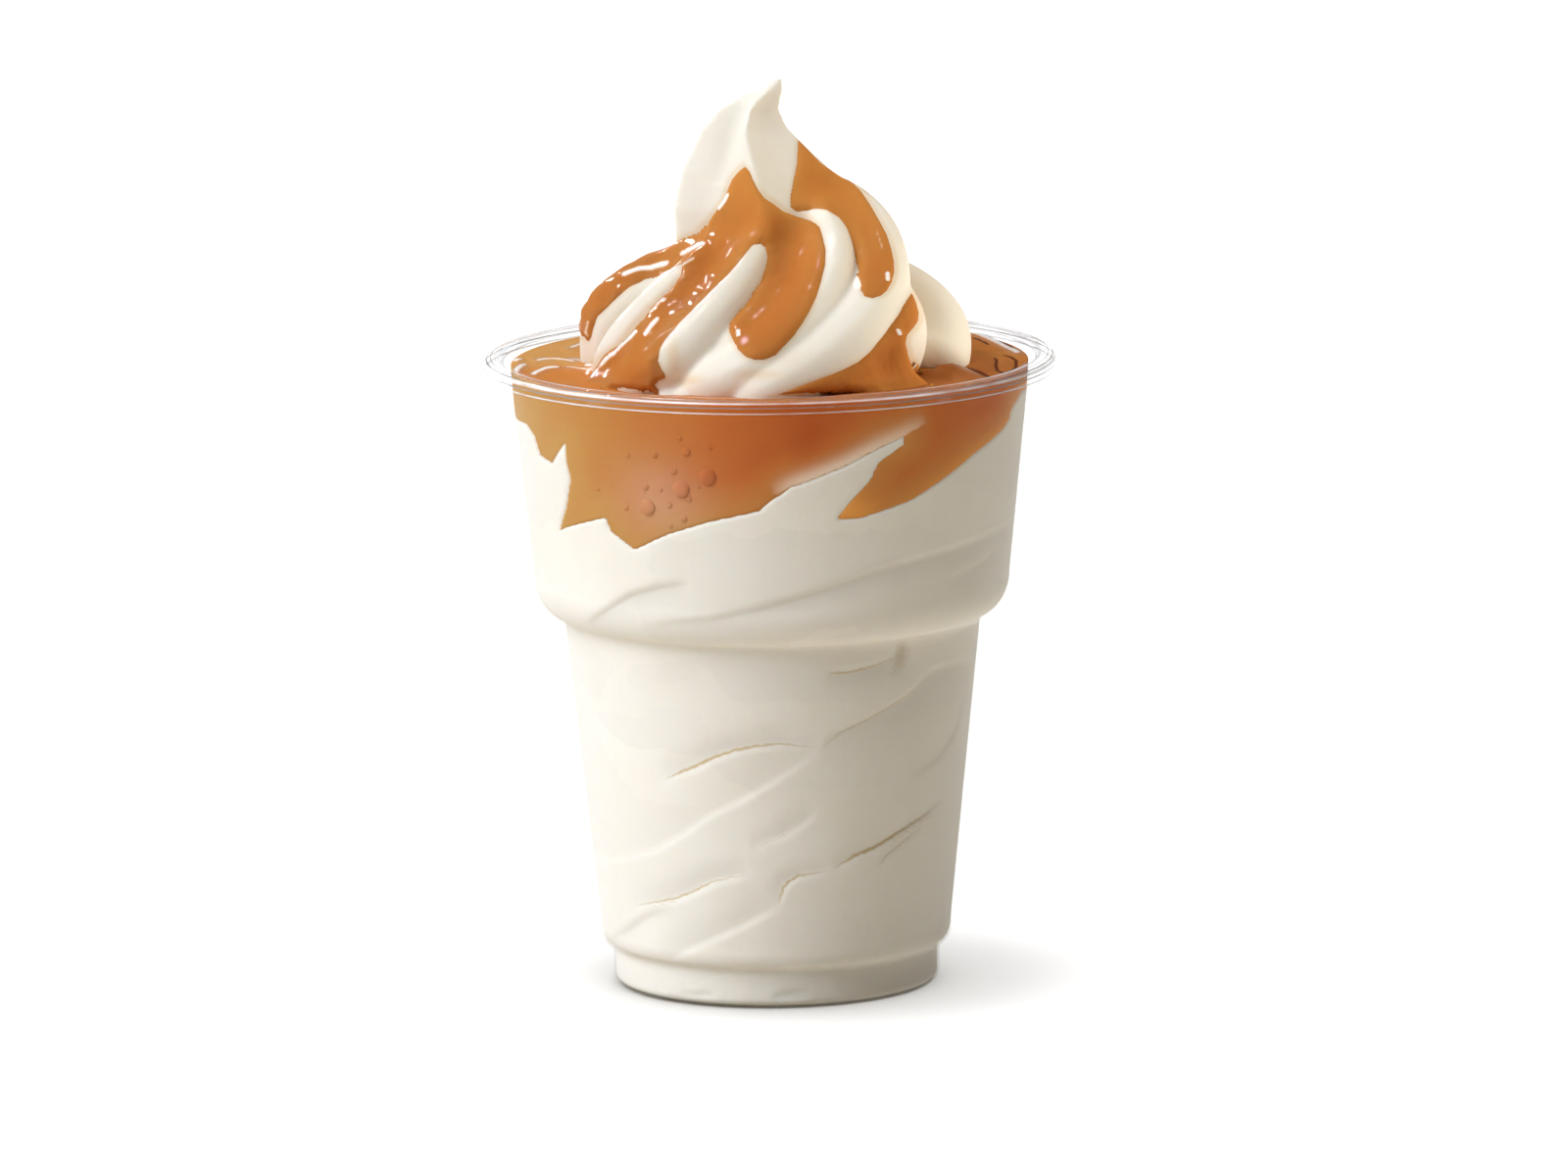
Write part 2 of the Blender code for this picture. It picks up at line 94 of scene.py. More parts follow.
# Lower edge of the caramel on the wall, from the left round the front to the back: bearing, height
SAUCE_EDGE = (
    (-90, 89.0), (-86.6, 86.5), (-72, 87.0), (-67.5, 85.6), (-65.3, 83.0), (-59.3, 82.2), (-53, 86.0),
    (-53.3, 83.3), (-52.6, 80.1), (-55.3, 75.8), (-59.4, 71.9), (-56.1, 72.8), (-41.8, 75.4), (-40.3, 73.4),
    (-33.7, 71.0), (-24.6, 73.8), (-14.4, 76.0), (-2.4, 77.8), (-1.5, 78.6), (4.5, 81.3), (7.5, 81.9),
    (16.7, 84.1), (24.3, 86.4), (31, 88.0), (31.1, 86.7), (24.9, 84.3), (23, 81.7), (20.1, 79.9),
    (15.4, 76.5), (15.9, 76.1), (20.8, 76.1), (33.9, 78.1), (41.8, 80.3), (52.7, 83.5), (64.8, 86.0),
    (68.5, 87.2), (69.8, 88.8), (76.9, 90.4), (84, 90.2), (94, 88.4), (104, 85.6), (110, 80.6), (116, 78.1),
    (123, 78.6), (128, 81.0), (137, 85.4), (146, 87.6), (155, 86.4), (163, 83.6), (170, 78.2), (178, 75.1),
    (186, 76.2), (194, 79.6), (203, 84.8), (210, 87.0), (219, 86.0), (226, 83.6), (232, 81.4), (238, 80.6),
    (245, 83.4), (252, 87.0), (260, 89.0),
)
LOWEST_SAUCE = 70.0
# The upper side of the notch in that edge, a little right of the front
NOTCH_LINE = ((1.0, 80.0), (4.5, 81.3), (7.5, 81.9), (16.7, 84.1), (24.3, 86.4), (31.0, 88.0), (37.0, 89.6))

# Melted ice cream that veils the caramel at the wall: above the notch, and in a patch at the left.
# A patch is given as bearing, height, reach sideways, reach upwards and strength.
NOTCH_FILM = 0.95
NOTCH_FILM_REACH = 1.6
WALL_FILM = (-26, 79, 7.5, 6.0, 0.2)
# Thin caramel is a brighter orange: at the tongue's tip, and along the right part of the edge
TONGUE_GLOW = (17.5, 77.2, 4.5, 2.6, 0.9)
EDGE_GLOW = 0.45
EDGE_GLOW_REACH = 1.6
EDGE_GLOW_START = 20
EDGE_GLOW_SPAN = 30
# How deep a brown the caramel is: millimetres right of the axis, and the tone there, from 0 to 1
WALL_TONES = (-37, -25, -10, 6, 15, 27, 37), (0.1, 0.3, 0.66, 1.0, 0.7, 0.75, 0.85)
WALL_EDGE_TONE = 0.45  # at its lower edge the caramel has this share of its tone
WALL_EDGE_REACH = 7
POOL_TONES = (-36, -22, 0, 20, 36), (0.66, 0.74, 0.92, 1.12, 0.92)
POOL_BACK_FADE = 0.26
POOL_BACK_START = -10
POOL_BACK_SPAN = 14
# Ice cream that shows through the pool's skin: right, behind, reach sideways, reach backwards, strength
POOL_CREAM = (-28.8, 4.2, 2.5, 2.6, 0.9)
POOL_CREAM_TONE = 0.72

# Folds in the ice cream against the wall, each a line of bearings and heights, with how deep the side is
# drawn in at the line, how far that reaches above and below it, how strong its painted tan shadow line is,
# and how much painted grey shade its deep side gets
FOLDS = (
    (((-34, 35.1), (-30, 36.2), (-24, 37.5), (-18, 39.1), (-11, 40.4), (-4, 41.1), (3, 41.3), (8, 40.9),
      (14, 40.5)), 0.3, 2.6, 0.5, 1.0, 0.5),
    (((-87, 18.6), (-55, 21.8), (-40, 24.0), (-29, 27.0), (-20, 30.2), (-9, 33.0), (2, 36.4), (8, 38.3),
      (13, 40.2)), 0.2, 4.0, 0.35, 0.2, 0.06),
    (((13, 40.2), (20, 42.8), (28, 44.3), (37, 46.2), (43, 47.6), (49, 49.9), (58, 50.4), (77, 49.4)),
     0.3, 0.4, 5.0, 0.6, 0.6),
    (((15, 51.9), (22, 51.8), (31, 52.6), (37, 53.6)), 0.3, 0.5, 2.0, 0.8, 0.5),
    (((34, 52.1), (37, 53.7), (38, 54.2), (37, 51.9), (34, 50.6)), 0.3, 0.8, 1.2, 0.5, 0.8),
    (((18, 21.6), (25, 23.4), (32, 24.3), (43, 26.4), (54, 28.1), (62, 29.7)), 0.35, 1.6, 0.45, 1.1, 0.3),
    (((34, 21.3), (37, 22.8), (45, 24.9), (53, 26.4)), 0.2, 0.9, 0.4, 0.6, 0.3),
    (((-52, 14.6), (-42, 15.7), (-33, 16.9), (-26, 18.4), (-20, 19.9), (-13, 20.8), (-8, 21.0)),
     0.3, 2.4, 0.5, 0.8, 0.45),
    (((1, 16.3), (2, 18.9), (4, 20.0), (7, 20.9), (12, 21.1), (18, 21.6)), 0.22, 1.6, 0.4, 0.9, 0.25),
    (((1, 16.2), (-4, 15.0), (-13, 12.7), (-23, 10.5), (-31, 8.8), (-39, 6.9)), 0.22, 3.0, 0.4, 0.1, 0.25),
    (((-76, 6.9), (-57, 10.5), (-46, 13.5), (-35, 15.3)), 0.22, 0.4, 2.4, 0.1, 0.3),
    (((-7, 25.4), (2, 27.0), (9, 29.2), (13, 31.0)), 0.18, 2.0, 0.4, 0.25, 0.2),
    (((-53, 58.0), (-44, 61.1), (-36, 63.9), (-28, 65.5), (-20, 66.5)), 0.35, 0.4, 3.4, 0.25, 0.75),
    (((-32, 59.6), (-15, 60.9), (-3, 62.7), (7, 64.4), (25, 67.6), (40, 69.1), (61, 70.1), (85, 70.8)),
     0.35, 0.5, 3.0, 0.15, 0.5),
    (((45, 64.8), (59, 66.1), (72, 68.5)), 0.25, 0.5, 2.2, 0.4, 0.35),
    (((-36, 1.9), (-30, 1.7), (-23, 2.3)), 0.2, 0.4, 2.0, 0.1, 0.5),
    (((-2, 1.9), (4, 2.6), (12, 3.1)), 0.2, 0.4, 2.0, 0.1, 0.4),
    (((74, 46.1), (68, 39.8), (57, 36.2), (45, 34.7)), 0.2, 2.4, 0.5, 0.3, 0.2),
    (((95, 23.0), (112, 26.0), (128, 29.0), (160, 38.0)), 0.35, 2.4, 0.5, 0.9, 0.4),
    (((110, 41.0), (128, 43.5), (146, 47.0), (185, 54.0)), 0.3, 0.4, 4.0, 0.5, 0.4),
    (((150, 15.0), (182, 20.0), (200, 23.5), (215, 28.0)), 0.3, 2.6, 0.5, 0.5, 0.3),
    (((118, 62.0), (150, 66.0), (196, 70.0)), 0.35, 0.5, 3.0, 0.2, 0.5),
    (((190, 37.0), (210, 39.0), (226, 42.0), (262, 50.0)), 0.3, 2.6, 0.5, 0.9, 0.4),
    (((205, 61.0), (235, 66.0), (262, 68.0)), 0.35, 0.5, 3.4, 0.3, 0.6),
)
FOLD_REACH = 1.5  # the crisp step at a fold's line fades away within about this distance

# Folds in the pool's skin, each a line of points right of and behind the axis, with its rise, how far it
# reaches in front of the line and behind it, and its line's tone, above 0 pale with a painted highlight and
# below 0 dark with painted shade
POOL_FOLDS = (
    (((-38.3, -10.1), (-37.8, -5.8), (-37.2, -2.4), (-36.4, 0.1)), 0.5, 0.8, 0.7, 1.0),
    (((-35.7, -12.1), (-34.8, -8.7), (-33.6, -6.2), (-32.4, -4.8), (-31.0, -3.8)), 0.6, 0.9, 0.8, 1.0),
    (((-38.4, 1.5), (-37.7, 3.0), (-36.9, 3.9)), 0.4, 0.8, 0.7, 0.9),
    (((-27.9, -3.6), (-27.1, -3.2), (-26.5, -5.8)), 0.4, 0.9, 0.8, 1.0),
    (((-27.0, -10.2), (-25.8, -5.8), (-25.0, -1.9), (-24.2, 2.5)), 0.8, 0.9, 0.9, 1.0),
    (((-35.6, 2.0), (-33.9, 3.5), (-32.2, 3.9), (-30.5, 3.0), (-28.4, 1.0)), 0.4, 0.8, 1.4, 0.8),
    (((-30.9, -3.3), (-29.3, -5.3), (-27.6, -7.7), (-26.3, -10.6)), 0.4, 0.9, 0.8, 0.75),
    (((30.0, 25.5), (31.5, 22.3), (33.3, 17.0), (35.1, 11.7), (36.9, 6.4), (37.6, 3.0)), 0.4, 0.7, 0.7, 1.0),
    (((30.7, 25.1), (32.6, 20.8), (34.2, 16.6)), 0.2, 0.6, 0.6, 0.75),
    (((33.3, 16.6), (33.8, 18.6), (34.2, 17.8), (35.2, 15.4), (36.2, 12.0), (36.8, 8.5)),
     -0.2, 0.5, 0.5, -1.0),
    (((30.2, 20.8), (31.5, 18.3), (32.6, 14.9), (33.3, 12.3)), -0.2, 0.5, 0.5, -0.9),
    (((32.5, 5.5), (33.6, 2.2), (34.0, -0.4), (33.8, -6.3), (34.0, -10.6), (35.1, -12.7), (36.0, -11.0),
      (36.8, -7.4), (36.9, -1.0), (36.2, 2.2), (35.1, 4.3), (34.0, 3.9)), -0.25, 0.5, 0.5, -1.0),
    (((23.9, -11.0), (24.6, -5.3), (25.1, -2.5), (26.6, -2.5), (28.1, -5.3), (29.9, -8.5), (31.4, -11.6),
      (32.5, -15.2), (33.3, -16.9)), -0.3, 0.6, 0.6, -1.4),
    (((24.4, -14.6), (25.0, -7.2), (26.6, -6.2), (28.3, -9.4), (30.2, -13.4), (32.0, -18.0)),
     0.7, 4.0, 0.5, 0.5),
    (((-20.0, 26.0), (-8.0, 31.0), (6.0, 30.5), (16.0, 27.0)), 0.5, 1.0, 2.4, 0.7),
    (((-31.0, 12.0), (-26.0, 21.0), (-18.0, 29.0)), 0.4, 1.0, 1.0, 0.8),
    (((6.0, 35.0), (14.0, 31.0), (24.0, 24.0)), 0.35, 0.8, 1.4, 0.6),
    (((-6.0, 36.0), (-12.0, 34.0), (-20.0, 31.5)), -0.2, 0.5, 0.5, -0.9),
)
POOL_SQUASH = 0.5  # the pool's lines are this much narrower sideways than they are from front to back
POOL_LINE_REACH = 1.2
POOL_CRACK_REACH = 0.75
POOL_RISE_LIMIT = 1.1
POOL_WAVE = 0.12  # height of the pool's long waves
POOL_GLOSS = 0.06, 0.9  # gloss of the pool's skin, and how much more its pale lines have

# Swirl arms: crown bearing, turn to the foot, reach, crown height over the pool, girth, slump, and the share
# of its reach that an arm has at the side
ARMS = (
    (-78, 22, 28.4, 19.6, 4.6, 0.78, 1.0),
    (-36, 37, 28.2, 21.5, 4.4, 1.0, 1.0),
    (-2, 42, 33.8, 23.5, 5.0, 1.2, 1.0),
    (46, 72, 33.6, 27.5, 6.0, 1.15, 0.86),
    (84, 98, 34.6, 29.8, 6.9, 1.0, 0.86),
    (116, 40, 30.2, 18.0, 5.4, 0.95, 1.0),
    (158, 46, 29.4, 20.5, 5.4, 0.9, 1.0),
    (199, 44, 28.8, 21.5, 5.2, 0.9, 1.0),
    (239, 38, 28.4, 19.0, 5.0, 0.85, 1.0),
)
ARM_FIRST_SLOPE = 18
ARM_LAST_SLOPE = 104
ARM_STATIONS = 40
ARM_FOOT_HEIGHT = 1.6
ARM_BEND = 1.25
CROWN_GIRTH = 0.6
ARM_SWELL = 0.8
# Balls inside the swirl that fill its middle and its foot: right, front, height over the pool, radius
CORE = (
    (0.0, 3.0, -1.0, 22.5), (1.5, 2.0, 8.0, 17.0), (3.5, 2.0, 15.5, 12.5),
    (-14.8, 27.4, -1.6, 2.6), (-12.4, 28.0, -1.5, 2.8), (-9.6, 28.2, -1.4, 3.0),
    (-7.0, 19.4, 0.8, 11.0), (-2.0, 20.4, 1.6, 11.4), (6.0, 19.6, 4.0, 11.6), (-11.0, 17.6, 0.6, 11.0),
    (12.0, 15.0, 6.5, 11.5),
)
# Rings of the peak: height, how far right, radius
PEAK = (
    (137.0, 2.2, 0.25), (136.0, 1.3, 1.2), (135.1, 0.2, 2.2), (134.2, -1.0, 3.0), (132.4, -2.7, 4.2),
    (129.7, -3.3, 5.8), (126.7, -2.5, 7.8), (123.7, -1.7, 10.0), (118.0, 0.2, 12.9), (113.0, 1.0, 13.4),
    (106.0, 0.0, 13.0),
)
PEAK_STEPS = 128
PEAK_SPACING = 0.5
PEAK_FLUTES = 5
FLUTE_DEPTH = 0.32
FLUTE_SHARPNESS = 1.3
FLUTE_MIDDLE = 0.46
ARM_SIDES = 48
ARM_TIP = 0.05  # least share of its girth that an arm has at its round ends
# Crest and hollow along an arm: height or depth as a share of its girth, and turn and width in radians
CREST = 0.2
CREST_TURN = 0.25
CREST_WIDTH = 0.42
CREST_FADE = 0.8  # this share of crest and hollow has gone at the arm's foot
HOLLOW = 0.14
HOLLOW_TURN = -0.75
HOLLOW_WIDTH = 0.45
SWIRL_VOXEL = 0.38
SWIRL_SOFTENING = 7
SWIRL_BOTTOM = 92.6
SHADED_SOFTENING = 120  # hollows for the painted shade are found by smoothing the swirl this many times
SHADED_DEPTH = 0.8  # a hollow this deep has its full painted grey shade

# Outlines of the drizzle, as seen from the front a little above: right of the axis, up from the pool
VIEW_TILT = 10
VIEW_DISTANCE = 2500  # how far off the view is taken that the outlines and streaks are drawn in
FRONT_DRIZZLE = (
    ((-3.5, 29.4), (-4.2, 29), (-5.1, 28.1), (-5.9, 26.9), (-6.3, 25.7), (-6.8, 24.3), (-7.9, 22.8),
     (-8.8, 21.6), (-9.7, 20.1), (-11.2, 18.8), (-12.1, 17.8), (-12.7, 16.3), (-13, 14.9), (-13.3, 13.1),
     (-14.1, 11.9), (-15.1, 10.7), (-16.6, 9.6), (-18, 8.4), (-19, 7.2), (-20.2, 6), (-21.1, 4.9), (-22, 3.7),
     (-23.2, 2.5), (-25.3, 1.3), (-27.1, -0.4), (-28.6, -4.6), (-28.7, -9), (-17.2, -9), (-17.0, -5.4),
     (-17.4, -3.6), (-15.3, -2.6), (-16.6, 0.0), (-16.4, 1.8), (-15.8, 2.9), (-14.9, 4.1), (-13.1, 6),
     (-10.8, 8.4), (-8.7, 10.6), (-6.1, 12.9), (-4.3, 14.9), (-3.1, 16.3), (-2.1, 17.4), (-1, 17.6),
     (-0.3, 17.1), (0, 15.7), (-0.2, 14.3), (-0.8, 12.5), (-1.9, 10.6), (-3.1, 8.7), (-4.6, 7.2), (-5.6, 6),
     (-6, 4.7), (-5.7, 3.2), (-5, 1.6), (-3.8, 0.3), (-2.4, -0.3), (-0.8, -0.3), (0.9, 0.4), (2.5, 1.9),
     (4, 3.5), (5.2, 5.1), (6.4, 7.2), (7.4, 9.4), (8, 11.6), (8.6, 14.3), (8.7, 16.6), (8.2, 18.7),
     (7.7, 20.3), (6.2, 21.5), (4.5, 22.1), (2.7, 22.6), (1.3, 23.7), (-0.2, 24.6), (-1.3, 25.9),
     (-2.1, 27.2), (-2.6, 28.4)),
    ((4.7, 33.8), (4.6, 31.9), (4.5, 29.6), (4, 27.2), (3.6, 24.9), (3.6, 23.2), (4.5, 22.6), (6.6, 22.9),
     (8.9, 22.5), (10.8, 21.5), (12.1, 20.1), (12.9, 18.4), (13.5, 16.6), (13.8, 14.6), (13.7, 12.2),
     (13.7, 10.4), (14.3, 9.4), (15.6, 9), (17.1, 9.3), (18.1, 10.1), (18.9, 11.5), (19.3, 13.1),
     (19.2, 14.9), (18.7, 16.9), (18, 19), (17.1, 20.7), (16.1, 22.6), (15.1, 24.3), (14, 26), (12.5, 27.5),
     (10.5, 28.7), (8.4, 29.9), (7.1, 31.3), (5.8, 32.8)),
    ((21.9, 10.3), (21.2, 9.4), (20.4, 8.1), (19.8, 6.9), (18.9, 5.4), (17.7, 3.8), (16.6, 2.5), (15.3, 0.9),
     (13.5, -0.6), (10.8, -1.9), (7.4, -3.1), (3.7, -4.4), (-0.7, -6), (-0.8, -10.4), (26.5, -10.4),
     (25.4, -6), (24.4, -3.6), (23.2, -2.1), (22.2, -1), (21.3, 0.4), (20.9, 2.2), (21.2, 3.4), (22.1, 4.4),
     (22.9, 5.6), (23, 6.9), (22.6, 8.5)),
    ((-9.4, 21.0), (-11.0, 19.4), (-13.2, 18.6), (-16.8, 17.4), (-19.8, 16.4), (-22.6, 14.8), (-24.6, 13.4),
     (-27, 11.6), (-28.8, 9.8), (-29.3, 7.9), (-29.3, 5.7), (-28.6, 4.2), (-27.6, 3.4), (-27, 3.7),
     (-26.5, 5.1), (-25.8, 6.9), (-24.4, 8.1), (-22.8, 9.7), (-21, 11.2), (-18.6, 12.6), (-16.2, 13.7),
     (-13.6, 14.6), (-11.7, 15.1), (-10.3, 16.6), (-9.4, 18.1)),
)
BACK_DRIZZLE = (
    ((4.4, 33.5), (2.2, 28.0), (-1.5, 23.0), (-4.5, 19.0), (-6.5, 13.0), (-7.2, 7.5), (-6.6, 3.4),
     (-4.0, 1.6), (-1.2, 3.2), (0.2, 8.0), (1.6, 13.0), (3.6, 15.6), (5.6, 13.2), (7.4, 8.4), (9.6, 3.6),
     (12.4, -1.0), (18.6, -1.0), (17.0, 4.0), (14.4, 9.2), (12.8, 14.6), (12.6, 19.6), (12.4, 24.6),
     (9.6, 29.4), (6.4, 33.0)),
    ((-9.0, 21.0), (-14.0, 17.8), (-17.8, 13.6), (-20.0, 8.2), (-22.6, 2.4), (-22.0, -2.0), (-15.2, -2.0),
     (-15.4, 3.4), (-14.0, 9.0), (-11.4, 13.8), (-8.4, 17.6)),
)
LOBE_FRONT = -9  # the third front outline only counts in front of here
FRONT_HALF = 3  # the front outlines count in front of here, the back ones behind

# Caramel that shines through the swirl's foot: right, up, reach sideways, reach upwards, strength
STAINS = (
    (-14.4, 0.2, 1.1, 3.0, 0.5), (-12.0, -3.0, 2.2, 0.9, 0.45), (-1.8, -2.3, 3.6, 0.8, 0.45),
    (3.0, -0.2, 3.6, 1.4, 0.12),
)
EDGE_STAIN = 0.4  # how strongly the drizzle's own edge stains the ice cream
EDGE_STAIN_REACH = 0.35

# Painted streaks of highlight on the drizzle's ridges: their lines as seen from the front, and how pale they
# are
STREAKS = (
    (((-5.8, 25.2), (-6.4, 24.2), (-7.1, 23.2), (-7.7, 22.2)), 1.0),
    (((-9.3, 17.7), (-10.2, 17.4), (-11.4, 16.9), (-12.8, 16.2), (-13.4, 15.6)), 1.0),
    (((-14.6, 15.1), (-16.1, 14.7), (-17.6, 14.2), (-19.2, 14.1), (-20.5, 13.7), (-21.7, 13.2),
      (-22.8, 12.2)), 1.0),
    (((-10.8, 15.6), (-12.2, 14.8), (-14.1, 14.2), (-16.0, 13.7), (-17.9, 13.3)), 0.75),
    (((-15.3, 9.7), (-16.3, 8.9), (-17.4, 7.8), (-18.4, 6.8)), 0.9),
    (((-16.4, 6.6), (-17.3, 5.5), (-18.2, 4.3), (-19.0, 3.3)), 0.95),
    (((-19.6, 4.8), (-20.7, 3.8), (-21.9, 2.8), (-23.1, 1.5), (-24.4, 0.5), (-25.6, -0.6),
      (-26.9, -1.3)), 1.0),
    (((-26.9, 6.7), (-27.5, 4.8), (-27.1, 3.8)), 0.7),
    (((-5.2, 8.0), (-5.5, 6.6), (-5.5, 5.4)), 0.7),
    (((-4.6, 4.6), (-4.5, 3.1)), 1.0),
    (((17.8, 12.9), (17.9, 11.3)), 1.0),
    (((16.2, 19.4), (16.8, 17.5), (17.4, 15.6)), 0.65),
    (((19.2, 4.4), (19.7, 3.2)), 0.95),
    (((-5.3, 27.3), (-6.6, 25.2)), 0.7),
)
STREAK_REACH = 0.9
STREAK_RISE = 0.2
STREAK_SHIFT = 0.06  # a streak starts at full strength sooner than it fades, by this share of its line

# Groove in the peak's left side: its line as seen from the front, depth, and half width
GROOVE = ((-3.6, 38.6), (-4.6, 36.4), (-5.4, 34.0), (-6.2, 31.0), (-7.2, 26.4))
GROOVE_DEPTH = 0.9
GROOVE_WIDTH = 1.5

DRIZZLE_RELIEF = 0.45
DRIZZLE_SHOULDER = 1.5  # the drizzle reaches its full height this far in from its edge
DRIZZLE_DIP = 0.35  # how far its rim dips into the ice cream
DRIZZLE_THICKNESS = 0.8
DRIZZLE_MARGIN = 0.6  # the sunk rim reaches this far outside the outline
# Tone, glow and gloss of the drizzle: the least, and how much more there is at most
DRIZZLE_TONE = 0.38, 0.2
DRIZZLE_MIDDLE = 4  # its tone is deepest this far in from its edge
DRIZZLE_GLOW = 0.05, 0.3
GLOW_START = 110  # the glow grows from this height, over the span
GLOW_SPAN = 12
DRIZZLE_GLOSS = 0.03, 0.3
WET_START = -5  # left of here the drizzle gets wet, over the span
WET_SPAN = 5
WET_EDGE = 1.6  # only what lies within about this of its edge is wet
RIPPLE = 0.3
RIPPLE_SIZE = 1.7
VALLEY_RADIUS = 3.0  # the drizzle fills valleys that are narrower than twice this
FLOODED_RADIUS = 34.0
FLOOD_FADE = 1.0  # the drizzle thins out into the pool over this height

# Air bubbles against the wall: bearing, height, radius
BUBBLES = (
    (-29.4, 77.8, 1.3), (-20.7, 80.9, 1.35), (-14.3, 82.9, 1.3), (-22.3, 83.6, 0.6), (-26.7, 85.9, 0.55),
    (-19.0, 86.6, 0.7), (-20.4, 88.6, 0.4), (-29.7, 80.9, 0.6), (-25.8, 80.6, 0.4), (-19.0, 79.4, 0.5),
    (-23.8, 78.3, 0.5), (-20.5, 76.4, 0.6), (-23.7, 75.1, 0.4), (-35.3, 77.4, 0.5), (-43.3, 79.7, 0.4),
    (-13.5, 87.3, 0.4), (-33.7, 85.5, 0.45), (-16.4, 81.3, 0.3),
)
BUBBLE_FLATNESS = 0.24
BUBBLE_TONE = 0.12  # how much deeper a brown than the caramel round them
BUBBLE_FILM = 0.8
BUBBLE_GLOSS = 0.1

# Lights. The sparks are small suns that only show as glints: name, bearing, elevation, strength
SPARKS = (
    ("spark_front", -48, 48, 0.6), ("spark_back", -135, 32, 2.2), ("spark_pool", -165, 38, 1.4),
    ("spark_left", -112, 50, 1.8), ("spark_high", -150, 62, 1.6),
)
SPARK_ANGLE = 5
GLINT_ANGLE = 10  # suns wider than this don't show in reflections
WHITE = (1.0, 1.0, 1.0)
WARM = (1.0, 0.95, 0.88)
SKY = (1.0, 0.99, 0.98, 1.0)
SKY_STRENGTH = 0.95
SKY_LESS_IN_GLOSS = 0.6

# Colours of the materials
CLEAR = (0.985, 0.99, 0.99, 1.0)
PASSING = (0.985, 0.985, 0.985, 1.0)
RIM_SHADE_GREY = (0.20, 0.195, 0.19, 1)
RIM_HIGHLIGHT_WHITE = (0.98, 0.98, 0.98, 1)
CREAM = (0.90, 0.825, 0.69, 1)
PALE_CREAM = (0.93, 0.865, 0.745, 1)
SWIRL_SHADE = (0.70, 0.64, 0.54, 1)
STAINED_CREAM = (0.76, 0.50, 0.23, 1)
STREAKED_CREAM = (0.80, 0.73, 0.60, 1)
FACET_SHADE_CREAM = (0.74, 0.69, 0.60, 1)
FLECKED_CREAM = (0.74, 0.66, 0.52, 1)
FOLD_SHADE = (0.64, 0.59, 0.50, 1)
FOLD_SHADOW_TAN = (0.56, 0.40, 0.17, 1)
GLOWING_CARAMEL = (0.80, 0.34, 0.07, 1)
FILMED_CARAMEL = (0.86, 0.68, 0.53, 1)
PALE_CARAMEL = (0.92, 0.66, 0.45, 1)
HIGHLIGHT_WHITE = (1.0, 0.96, 0.93, 1)
CRACK_SHADE_BROWN = (0.13, 0.035, 0.010, 1)
FLOOR_GREY = (0.85, 0.85, 0.85, 1)
FLOOR_WHITE = (0.87, 0.87, 0.87, 1)
FLOOR_BOUNCE = (0.50, 0.48, 0.445, 1)

# Camera, fitted to the picture's frame
CAMERA_TARGET = Vector((0.00176, 0.0, 0.0596))
CAMERA_DISTANCE = 2.5
CAMERA_ELEVATION = 10
CAMERA_ROLL = -0.7
CAMERA_LENS = 382.5


class Reading:
    """One output of a material's nodes. Arithmetic on readings adds Math nodes."""

    def __init__(self, recipe, socket):
        self.recipe = recipe
        self.socket = socket

    def __add__(self, other):
        return self.recipe.maths("ADD", self, other)

    def __sub__(self, other):
        return self.recipe.maths("SUBTRACT", self, other)

    def __rsub__(self, other):
        return self.recipe.maths("SUBTRACT", other, self)

    def __mul__(self, other):
        return self.recipe.maths("MULTIPLY", self, other)

    __radd__ = __add__


class Recipe:
    """A material in the making, with its principled shader."""

    def __init__(self, name, **constants):
        self.material = bpy.data.materials.new(name)
        self.material.use_nodes = True
        self.tree = self.material.node_tree
        self.shader = self.tree.nodes["Principled BSDF"]
        self.output = self.tree.nodes["Material Output"]
        for key, value in constants.items():
            self.shader.inputs[key.replace("_", " ").title().replace("Ior", "IOR")].default_value = value

    def feed(self, socket, value):
        if isinstance(value, Reading):
            self.tree.links.new(value.socket, socket)
        else:
            socket.default_value = value

    def node(self, kind, settings=None, sockets=None, output=0):
        made = self.tree.nodes.new("ShaderNode" + kind)
        for key, value in (settings or {}).items():
            if key == "stops":
                for index, (place, colour) in enumerate(value):
                    stops = made.color_ramp.elements
                    stop = stops[index] if index < len(stops) else stops.new(place)
                    stop.position = place
                    stop.color = colour
            else:
                setattr(made, key, value)
        for key, value in (sockets or {}).items():
            self.feed(made.inputs[key], value)
        return Reading(self, made.outputs[output])

    def maths(self, operation, *values):
        return self.node("Math", {"operation": operation}, dict(enumerate(values)))

    def place(self):
        return self.node("TexCoord", output="Object")

    def noise(self, size, detail=2.0, roughness=0.5, stretch=(1, 1, 1)):
        """Cloudy values from 0 to 1 whose patches are about size millimetres across."""
        where = self.node("Mapping", None, {"Vector": self.place(), "Scale": stretch})
        sockets = {"Vector": where, "Scale": 1 / (size * MM), "Detail": detail, "Roughness": roughness}
        return self.node("TexNoise", None, sockets)

    def attribute(self, name):
        return self.node("Attribute", {"attribute_name": name}, output="Fac")

    def ramp(self, reading, *stops):
        return self.node("ValToRGB", {"stops": stops}, {"Fac": reading})

    def blend(self, share, first, second, how="MIX"):
        settings = {"data_type": "RGBA", "blend_type": how}
        return self.node("Mix", settings, {0: share, 6: first, 7: second}, output=2)

    def bump(self, height, depth, strength=1.0):
        return self.node("Bump", None, {"Height": height, "Distance": depth * MM, "Strength": strength})

    def colour(self, reading):
        self.feed(self.shader.inputs["Base Color"], reading)

    def varying(self, **readings):
        for key, value in readings.items():
            self.feed(self.shader.inputs[key], value)


